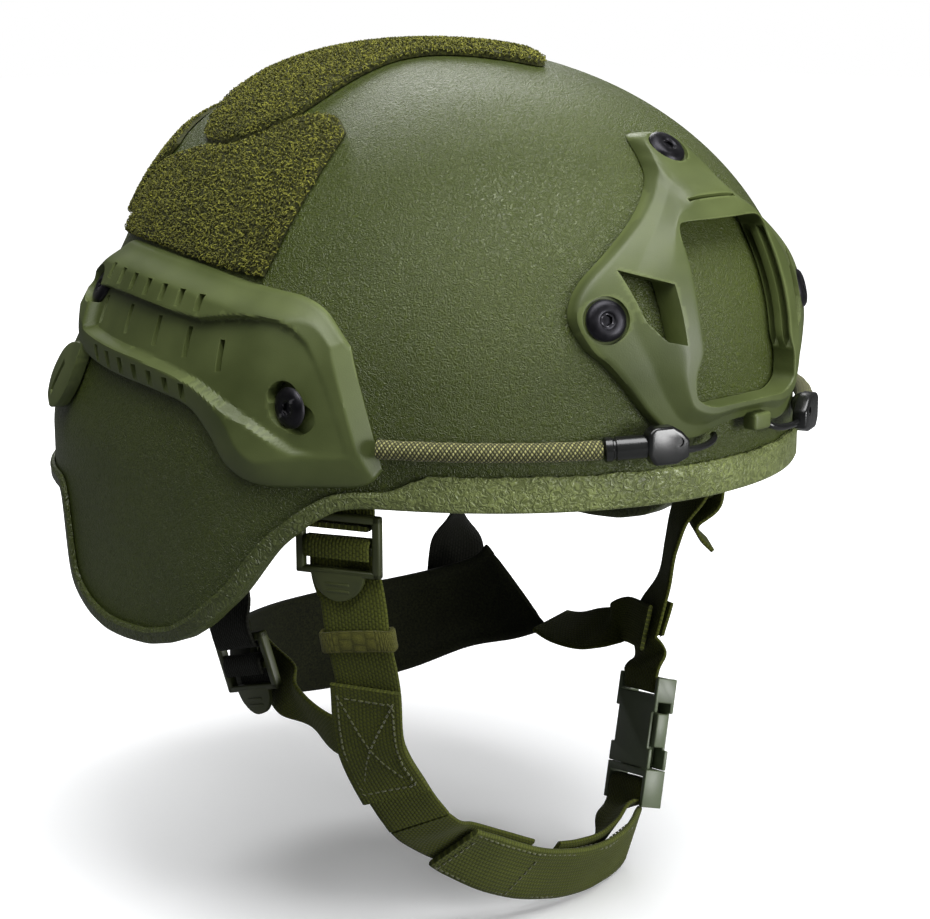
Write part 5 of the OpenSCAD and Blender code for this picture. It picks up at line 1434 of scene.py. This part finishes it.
# %% Lower straps
UNDER = WEB_T + 1.6
end_right, end_left = strap_frame(strap_right, strap_right_w, 33), strap_frame(strap_left, strap_left_w, 35)
lower_right = [[-80.3, 19.5, -77.5], [-84, 8, -80], [-87, -4, -83], [-88.7, -15, -86.5]]
lower_right += [placed(end_right, (x, UNDER, 0)).tolist() for x in (-15, 8)]
lower_left = [[84.5, 20.5, -99], [83.8, 10, -99.5], [82.6, -4, -97], [81.8, -15, -93.5]]
lower_left += [placed(end_left, (x, -UNDER, 0)).tolist() for x in (-15, 8)]
lower_right_w = [[0.05, 0.1, 0.98], [0.1, 0.1, 0.98], [0.15, 0.1, 0.97],
    [-0.45, 0.05, 0.88]] + times(end_right[1], 2)
lower_left_w = [[0.95, 0, 0.2], [0.9, 0, 0.4], [0.75, 0, 0.65], [0.7, 0, 0.7]] + times(end_left[1], 2)
lower_wide = [WEB_W - 3] * 4 + [WEB_W - 6] * 2
for name, route, across, node in (("lower_webbing_right", lower_right, lower_right_w, "lower_strap_right"),
        ("lower_webbing_left", lower_left, lower_left_w, "lower_strap_left")):
    piece = strap(name, route, across, lower_wide, steps=10, seed=4.0)
    [v * MM for v in route[0]]
    [v * MM for v in route[4]]
    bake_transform(piece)
    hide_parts(node)


# %% [markdown]
# ## Ladder locks
# A ladder lock holds webbing by friction: the strap goes over a middle bar, and tension clamps it. The
# tab below lifts it with a thumb. Each bar is a box with rounded edges, and the tab half a disc.

# %% Ladder lock
def ladder_lock(name, place, node, body):
    side = (LOCK_W - WEB_W - 1) / 2
    bars = [((s * (LOCK_W - side) / 2, 0, 0), (side, LOCK_T, LOCK_H)) for s in (-1, 1)]
    bars += [((0, 0, LOCK_H / 2 - 1.4), (LOCK_W, LOCK_T, 2.8)), ((0, 0, -1.5), (LOCK_W - 1, 2.4, 3)),
        ((0, 0, -LOCK_H / 2 + 1.2), (LOCK_W, LOCK_T, 2.4))]
    parts = [softened(box_cutter([at, *UPRIGHT], size), 0.75, 3) for at, size in bars]
    arc = [math.radians(t) for t in range(180, 361, 9)]
    tab_line = [(10 * math.cos(t), 10 * math.sin(t) - LOCK_H / 2 + 1) for t in arc]
    tab_rings = [[(x * grow, y + 0.6, z) for x, z in tab_line]
        for y, grow in ((-1.1, 0.9), (-0.7, 1), (0.7, 1), (1.1, 0.9))]
    tab = loft("tab", tab_rings, black_nylon)
    grip = [softened(box_cutter([(0, 1.75, -LOCK_H / 2 - z), *UPRIGHT], (9, 0.7, 0.9)), 0.3)
        for z in (3, 5.4)]
    made = joined(name, parts + [tab] + grip)
    put(made, place)
    ready(made, body, "black_plastic", node)


ladder_lock("front_ladder_lock_right", lock_right, "front_lock_right", "chin_harness")
ladder_lock("front_ladder_lock_left", lock_left, "front_lock_left", "chin_harness")
ladder_lock("nape_ladder_lock_right", nape_lock_r, "nape_lock_right", "helmet")
ladder_lock("nape_ladder_lock_left", nape_lock_l, "nape_lock_left", "helmet")


# %% [markdown]
# ## Side release buckle
# The CAD solids have the right shape, so each is copied, its loose triangles are merged and its flat
# faces put together again, and a small bevel rounds the edges as a mould does.

# %% Buckle
MOULD_EDGE = 0.5


def rounded_copy(name, node, body):
    shape = bmesh.new()
    shape.from_mesh(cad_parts[node].data)
    bmesh.ops.remove_doubles(shape, verts=shape.verts, dist=0.00001)
    bmesh.ops.dissolve_limit(shape, angle_limit=math.radians(3), verts=shape.verts, edges=shape.edges)
    data = bpy.data.meshes.new(name)
    shape.to_mesh(data)
    shape.free()
    ready(softened(finish_mesh(name, data, buckle_grey), MOULD_EDGE, 2, 32), body, "black_plastic", node)


rounded_copy("buckle_socket_moulding", "buckle_socket", "chin_harness")
rounded_copy("buckle_plug_moulding", "buckle_plug", "chin_piece")
rounded_copy("prong_front_moulding", "buckle_prong_front", "front_prong")
rounded_copy("prong_rear_moulding", "buckle_prong_rear", "rear_prong")


# %% [markdown]
# ## Chin cup and chin straps
# The cup is a wider strip that lies over the two chin straps. The right strap runs from the front
# strap into it, and stretches a little as the buckle opens.

# %% Chin pieces
cup_route = [[-52, -55.5, -141], [-46, -57, -145], [-36, -60, -151], [-22, -62.5, -158], [-5, -64, -163.5],
    [12, -64.5, -166.5], [30, -62, -167.5], [43, -58, -167], [51.5, -54.5, -166]]
cup_w_dir = [[0.45, -0.75, 0.5], [0.35, -0.7, 0.6], [0.2, -0.6, 0.75], [0, -0.55, 0.85], [0, -0.5, 0.87],
    [0, -0.5, 0.87],
    [-0.1, -0.45, 0.88], [-0.15, -0.4, 0.9], [-0.2, -0.4, 0.9]]
CUP_T, CUP_ROW, CUP_ROW_FROM, CUP_ROW_TO = 2.4, 12, 1.2, 23
cup = strap("chin_cup_webbing", cup_route, cup_w_dir, [26.5] + [28] * 7 + [27], CUP_T, finish=cup_web,
    waves=0.35, seed=5.0)
ready(cup, "chin_piece", "webbing", "chin_cup")
chin_right = [[-68.1, -54.4, -127], [-62.5, -54.2, -132], [-54.5, -53, -136.7], [-46, -53.8, -141.6],
    [-34.5, -56.6, -147.8], [-22.5, -58.7, -154]]
chin_right_w = [[0.5, -0.8, 0.3], [0.5, -0.78, 0.38], [0.45, -0.75, 0.5], [0.35, -0.7, 0.6],
    [0.2, -0.6, 0.75],
    [0.05, -0.55, 0.85]]
piece = strap("chin_webbing_right", chin_right, chin_right_w, seed=6.0)
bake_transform(piece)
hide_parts("chin_strap_right")
plug_wrap = routed(buckle, [[1.2, -5.4], [wrap_y * 0.25, -5.2], [wrap_y * 0.8, -5.8], [wrap_y - 0.2, -8],
    [wrap_y - 0.8, -16]])
chin_left = plug_wrap + [[46, -49.8, -158], [34, -55.2, -162.6], [20, -60, -163.6], [4, -61.2, -162],
    [-8, -61, -159.6]]
chin_left_w = times(across_of(buckle), len(plug_wrap)) + [[-0.2, -0.75, 0.55],
    [-0.1, -0.6, 0.75]] + times([0, -0.5, 0.87], 3)
ready(strap("chin_webbing_left", chin_left, chin_left_w, seed=7.0, waves=0.2), "chin_piece", "webbing",
    "chin_strap_left")


# %% [markdown]
# ## Elastic cords and hooks
# A cord runs along the brim at each side, from the rail to a black hook that takes hold under the
# shroud's lower edge. Its ends are held, so it isn't a free cord. Its braid winds round the UV map.

# %% Cords and hooks
CORD_D, CORD_Z, CORD_A, CORD_END, HOOK_A, HOOK_OFF = 6.5, 21.5, 54.8, 23.5, 15.3, 9.6


def tube(name, line, radius, sides, finish):
    line = np.asarray(line, float)
    e = len(line) - 1
    turns = round_turn(sides)
    rings = []
    radii = radius if hasattr(radius, "__len__") else [radius] * (e + 1)
    for i in range(e + 1):
        t = unit(line[min(e, i + 1)] - line[max(0, i - 1)])
        u = unit(np.cross(t, (0, 0, 1)))
        v = np.cross(u, t)
        rings.append([line[i] + (u * math.cos(a) + v * math.sin(a)) * radii[i] for a in turns])
    run = np.concatenate([[0], np.cumsum(np.linalg.norm(np.diff(line, axis=0), axis=1))])
    return loft(name, rings, finish, across=np.linspace(0, 1 / MM, sides + 1), along=run, sharp=60)


CORD_STEPS, WIRE_R, CORD_OFF = 60, 1.2, 1 + CORD_D / 2
cord_a = np.linspace(CORD_A, CORD_END, CORD_STEPS)
cord_line = skin(cord_a, CORD_Z, CORD_OFF)
cord_r = [CORD_D / 2 * (1 + 0.025 * math.sin(k * 0.7)) for k in range(CORD_STEPS)]
hook_from, hook_mid = skin(CORD_END - 0.4, CORD_Z, CORD_OFF), skin(HOOK_A, CORD_Z + 1.2, HOOK_OFF)
sleeve_way = unit(hook_mid - hook_from)
sleeve_l = np.linalg.norm(hook_mid - hook_from) - 6
sleeve_r = CORD_D / 2 + 1
block_side = [[-8, -4.5], [-8, 1.5], [-5, 4.5], [-1.5, 6.5], [5.5, 6.5], [7.6, 4.8], [7.6, -3], [5, -6.5],
    [-3, -6.5]]
wire_route = curve([[13.5, 20.4, 9.4], [11.8, 20, 9], [10.2, 19.9, 8.4], [8.6, 20, 7.6], [7.2, 20.6, 6.8],
    [6.2, 21.6, 5.8],
    [5.6, 22.4, 4]], 6)


def cord_hook(name):
    stops = [(0, sleeve_r - 0.6), (0.4, sleeve_r), (2.6, sleeve_r), (3, sleeve_r - 0.5),
        (3.6, sleeve_r - 0.5), (4, sleeve_r - 0.1),
        (sleeve_l, sleeve_r - 0.3)]
    sleeve = tube("sleeve", [hook_from + sleeve_way * s for s, r in stops], [r for s, r in stops], 32,
        black_gloss)
    place = [hook_mid, skin_normal(HOOK_A, CORD_Z), (0, 0, 1)]
    x, y, z = frame_of(place[1], place[2])
    block = loft("block", [[hook_mid + y * px + x * py + z * h for px, py in block_side]
        for h in (-2.7, 2.7)], black_gloss)
    softened(block, 1.1, 4)
    dimple = [hook_mid + y * -3.8 + x, z, x]
    carved(block, [ring_cutter(dimple, 1.6, 2.2, 6, 32)])
    wire = tube("wire", skin(wire_route[:, 0], wire_route[:, 1], wire_route[:, 2]), WIRE_R, 14, black_gloss)
    return joined(name, [sleeve, block, wire])


bungee_right = tube("braided_cord_right", cord_line, cord_r, 28, cord_braid)
bungee_left = tube("braided_cord_left", mirrored(cord_line), cord_r, 28, cord_braid)
hook_right = cord_hook("cord_hook_right")
hook_left = mirror_copy("cord_hook_left", hook_right)
ready(bungee_right, "right_cord", "cord_braid", "bungee_right")
ready(bungee_left, "left_cord", "cord_braid", "bungee_left")
ready(hook_right, "right_cord", "black_gloss", "bungee_hook_right")
ready(hook_left, "left_cord", "black_gloss", "bungee_hook_left")


# %% [markdown]
# ## Inner pads
# Seven pads of foam in brushed cloth hang on hook tape inside the shell. Each starts as a flat closed
# form with its back on the tape. Cloth simulation blows it up with its back held, so that its sides
# pull in between the corners as sewn covers do.

# %% Pad forms
PAD_T, CROWN_PAD_R = 17.0, 56.0
PAD_BACK = -WALL - 2 * 0.35 - 1 - 0.35
wall_pads = {"front": [0, 19, 20, 76], "rear": [180, 29, 18, 78], "right_front": [44, 13.5, 22, 78],
    "right_rear": [93, 17, 24, 80]}
pad_turn = round_turn(64)
back_rings, face_rings = [0.3, 0.6, 0.85, 0.95], [0.99, 0.97, 0.9, 0.75, 0.55, 0.3]


def pad_outline(s):
    c, d = np.cos(pad_turn), np.sin(pad_turn)
    r = s * (1 - 0.035 * (1 + np.cos(4 * pad_turn))) / (c ** 4 + d ** 4) ** 0.25
    return r * c, r * d


def start_t(s):
    return 0.8 * PAD_T * (0.45 + 0.55 * (1 - s ** 3.2) ** 0.6)


def pad_form(name, spot):
    """A closed form from its middle at the back, over the side, to the middle of its face."""
    rings = [spot(s, PAD_BACK) for s in back_rings]
    rings += [spot(0.985, PAD_BACK - start_t(0.99) * k) for k in (0.3, 0.65)]
    rings += [spot(s, PAD_BACK - start_t(s)) for s in face_rings]
    return loft(name, rings, pad_cloth, sharp=180)


def on_wall(pad, flip):
    def spot(s, off):
        u, v = pad_outline(s)
        points = skin(pad[0] + pad[1] * u, (pad[2] + pad[3]) / 2 + (pad[3] - pad[2]) / 2 * v, off)
        return mirrored(points) if flip else points
    return spot


def on_crown(s, off):
    r = CROWN_PAD_R * s * (1 - 0.02 * (1 + np.cos(5 * pad_turn)))
    return crown(r * np.cos(pad_turn), r * np.sin(pad_turn), off)


pads = [(pad_form("pad_cushion_" + name, on_wall(spot, False)), "pad_" + name)
    for name, spot in wall_pads.items()]
pads += [(pad_form("pad_cushion_left_" + part, on_wall(wall_pads["right_" + part], True)),
    "pad_left_" + part)
    for part in ("front", "rear")]
pads.append((pad_form("pad_cushion_crown", on_crown), "pad_crown"))


# %% Blow the pads up
FRAMES, SWELL_CAP, VOXEL, PRESSURE, BACK_FACING = 20, 3.2, 0.004, 4, 0.45


def blown_up(pieces):
    scene = bpy.context.scene
    rest, held = {}, {}
    for piece in pieces:
        remesh = piece.modifiers.new("even", "REMESH")
        remesh.mode, remesh.voxel_size = "VOXEL", VOXEL
        settle(piece, 180)
        co = np.array([v.co for v in piece.data.vertices])
        normal = np.array([v.normal for v in piece.data.vertices])
        outward = unit(co - np.array([0, 0, 0.03]))
        back = (normal * outward).sum(1) > BACK_FACING
        group = piece.vertex_groups.new(name="held")
        group.add([int(k) for k in np.nonzero(back)[0]], 1.0, "REPLACE")
        rest[piece.name], held[piece.name] = co, back
        cloth = piece.modifiers.new("cloth", "CLOTH")
        cloth.settings.use_pressure = True
        cloth.settings.uniform_pressure_force = PRESSURE
        cloth.settings.vertex_group_mass = "held"
        cloth.settings.effector_weights.gravity = 0
        cloth.point_cache.frame_end = FRAMES
    for number in range(1, FRAMES + 1):
        scene.frame_set(number)
    for piece in pieces:
        settle(piece, 180)
        co = np.array([v.co for v in piece.data.vertices])
        move = co - rest[piece.name]
        far = np.linalg.norm(move, axis=1, keepdims=True)
        co = rest[piece.name] + move * np.minimum(1, SWELL_CAP * MM / np.maximum(far, 1e-9))
        co[held[piece.name]] = rest[piece.name][held[piece.name]]
        piece.data.vertices.foreach_set("co", co.astype(np.float32).ravel())
        piece.vertex_groups.clear()
        print(piece.name, "swelled", round(float(far.max()) * 1000, 1), "mm")
    scene.frame_set(1)


blown_up([piece for piece, node in pads])
for piece, node in pads:
    rounder = piece.modifiers.new("round", "SUBSURF")
    rounder.levels = rounder.render_levels = 1
    settle(piece, 180)
    ready(piece, "helmet", "pad_fabric", node)
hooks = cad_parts["hook_patches"]
hooks.data.materials.clear()
hooks.data.materials.append(hook_tape)


# %% [markdown]
# ## Stitches
# Straps are joined with rows of short stitches: a crossed box of them holds each patch, rows run along
# both edges of the cup, and two rows cross its right end. Each row is a line of points, and Geometry
# Nodes lay one small thread at each point, turned along the row.

# %% Sew the rows
thread = fuzzy("olive_sewing_thread", "#34380f", "#565a2a", 0.6, depth=0.05)
sew_tree, sew_in = open_tree("stitch_rows", ("Spacing", "NodeSocketFloat"), ("Stitch", "NodeSocketObject"))
as_curve = add(sew_tree, "GeometryNodeMeshToCurve", {0: sew_in["Geometry"]})
spaced = add(sew_tree, "GeometryNodeCurveToPoints", {0: as_curve.outputs[0], "Length": sew_in["Spacing"]},
    mode="LENGTH")
along_row = add(sew_tree, "FunctionNodeAlignRotationToVector", {"Vector": spaced.outputs["Tangent"]},
    axis="X")
sewn = laid(sew_tree, spaced.outputs["Points"], sew_in["Stitch"], along_row.outputs[0])
close_tree(sew_tree, sewn.outputs[0], thread)
stitch_line = [[-0.95, 0, 0], [-0.7, 0, 0], [0.7, 0, 0], [0.95, 0, 0]]
stitch_shape = tube("one_stitch", stitch_line, [0.1, 0.34, 0.34, 0.1], 6, thread)
bpy.context.scene.collection.objects.unlink(stitch_shape)


STITCH_PITCH, ROW_STEPS = 2.7, 6


def rows_on(p, across, rows):
    """Lines of points on a strap. Each row is a list of (step, across, lift)."""
    q, d = curve(p, CAD_STEPS), curve(across, CAD_STEPS)
    e = len(q) - 1
    lines = []
    for row in rows:
        line = []
        for (i, x, lift), (i2, x2, lift2) in zip(row[:-1], row[1:]):
            for f in (k / ROW_STEPS for k in range(ROW_STEPS)):
                s, xs, h = i + (i2 - i) * f, x + (x2 - x) * f, lift + (lift2 - lift) * f
                n0 = min(e - 1, int(s))
                spot = q[n0] + (q[n0 + 1] - q[n0]) * (s - n0)
                t = unit(q[min(e, n0 + 1)] - q[max(0, n0 - 1)])
                w = unit(d[n0] - (d[n0] @ t) * t)
                line.append(spot + w * xs + np.cross(t, w) * h)
        lines.append(line)
    return lines


def stitches(name, lines, body):
    points, edges = [], []
    for line in lines:
        edges += [(len(points) + k, len(points) + k + 1) for k in range(len(line) - 1)]
        points += [(np.asarray(v) * MM).tolist() for v in line]
    data = bpy.data.meshes.new(name)
    data.from_pydata(points, edges, [])
    made = linked(name, data)
    grown(made, sew_tree, Spacing=STITCH_PITCH * MM, Stitch=stitch_shape)
    ready(made, body, "webbing")


def box_rows(low, high, half, lift):
    corners = [(low, -half, lift), (high, -half, lift), (high, half, lift), (low, half, lift),
        (low, -half, lift)]
    return [corners, [(low, -half, lift), (high, half, lift)], [(low, half, lift), (high, -half, lift)]]


patch_top = PATCH_LIFT + WEB_T / 2 + 0.05
stitches("junction_stitches_right", rows_on(strap_right, strap_right_w,
    box_rows(30.6, 35.4, 10.5, patch_top)), "chin_harness")
stitches("junction_stitches_left", rows_on(strap_left, strap_left_w, box_rows(32.5, 35.6, 10, -patch_top)),
    "chin_harness")
cup_lift = CUP_T / 2 + 0.1
cup_rows = [[(CUP_ROW_FROM, w, s * cup_lift), (CUP_ROW_TO, w, s * cup_lift)] for w in (-CUP_ROW, CUP_ROW)
    for s in (-1, 1)]
cup_rows += [[(k, -11, s * cup_lift), (k, 11, s * cup_lift)] for k in (1.5, 9) for s in (-1, 1)]
stitches("chin_cup_stitches", rows_on(cup_route, cup_w_dir, cup_rows), "chin_piece")


# %% [markdown]
# ## Floor
# The helmet rests on its chin cup in this studio, so the floor lies just under it. It is paper, pale
# and matte. To the camera it glows, a painted light that is faint near the helmet and grows away from it,
# so it fades to the white of the room as a lit sweep does. To light that bounces its colour is grey, so
# it throws little light back up, and the underside stays dark.

# %% Floor
FLOOR_BELOW, FLOOR_HALF, DIM_TO, WHITE_FROM = 0.0005, 6, 0.2, 0.8
floor_z = cad_box[0].z - FLOOR_BELOW
floor_data = bpy.data.meshes.new("floor")
floor_corners = [(x * FLOOR_HALF, y * FLOOR_HALF, floor_z) for x, y in ((-1, -1), (1, -1), (1, 1), (-1, 1))]
floor_data.from_pydata(floor_corners, [], [(0, 1, 2, 3)])
floor = linked("floor", floor_data)
paper, paper_tree, paper_shader = start_finish("studio_paper", roughness=0.9, specular_ior_level=0.1)
seen = add(paper_tree, "ShaderNodeLightPath").outputs["Is Camera Ray"]
white = mixed(paper_tree, grains_of(paper_tree, 4), "#f1f2f3", "#f6f7f8")
paper_tree.links.new(mixed(paper_tree, seen, "#7d7e7f", white), paper_shader.inputs["Base Color"])
place = add(paper_tree, "ShaderNodeTexCoord").outputs["Object"]
reach = add(paper_tree, "ShaderNodeVectorMath", {0: place}, operation="LENGTH").outputs["Value"]
# Painted light: to the camera the paper glows, faintly near the helmet and fully far from it
glow = maths(paper_tree, "MULTIPLY", seen, spread(paper_tree, reach, DIM_TO, WHITE_FROM, 0.15, 1.0))
paper_shader.inputs["Emission Color"].default_value = (1, 1, 1, 1)
paper_tree.links.new(glow, paper_shader.inputs["Emission Strength"])
floor_data.materials.append(paper)

# %% Remove the lent models
for lent in (loop_shape, stitch_shape):
    bpy.data.objects.remove(lent)
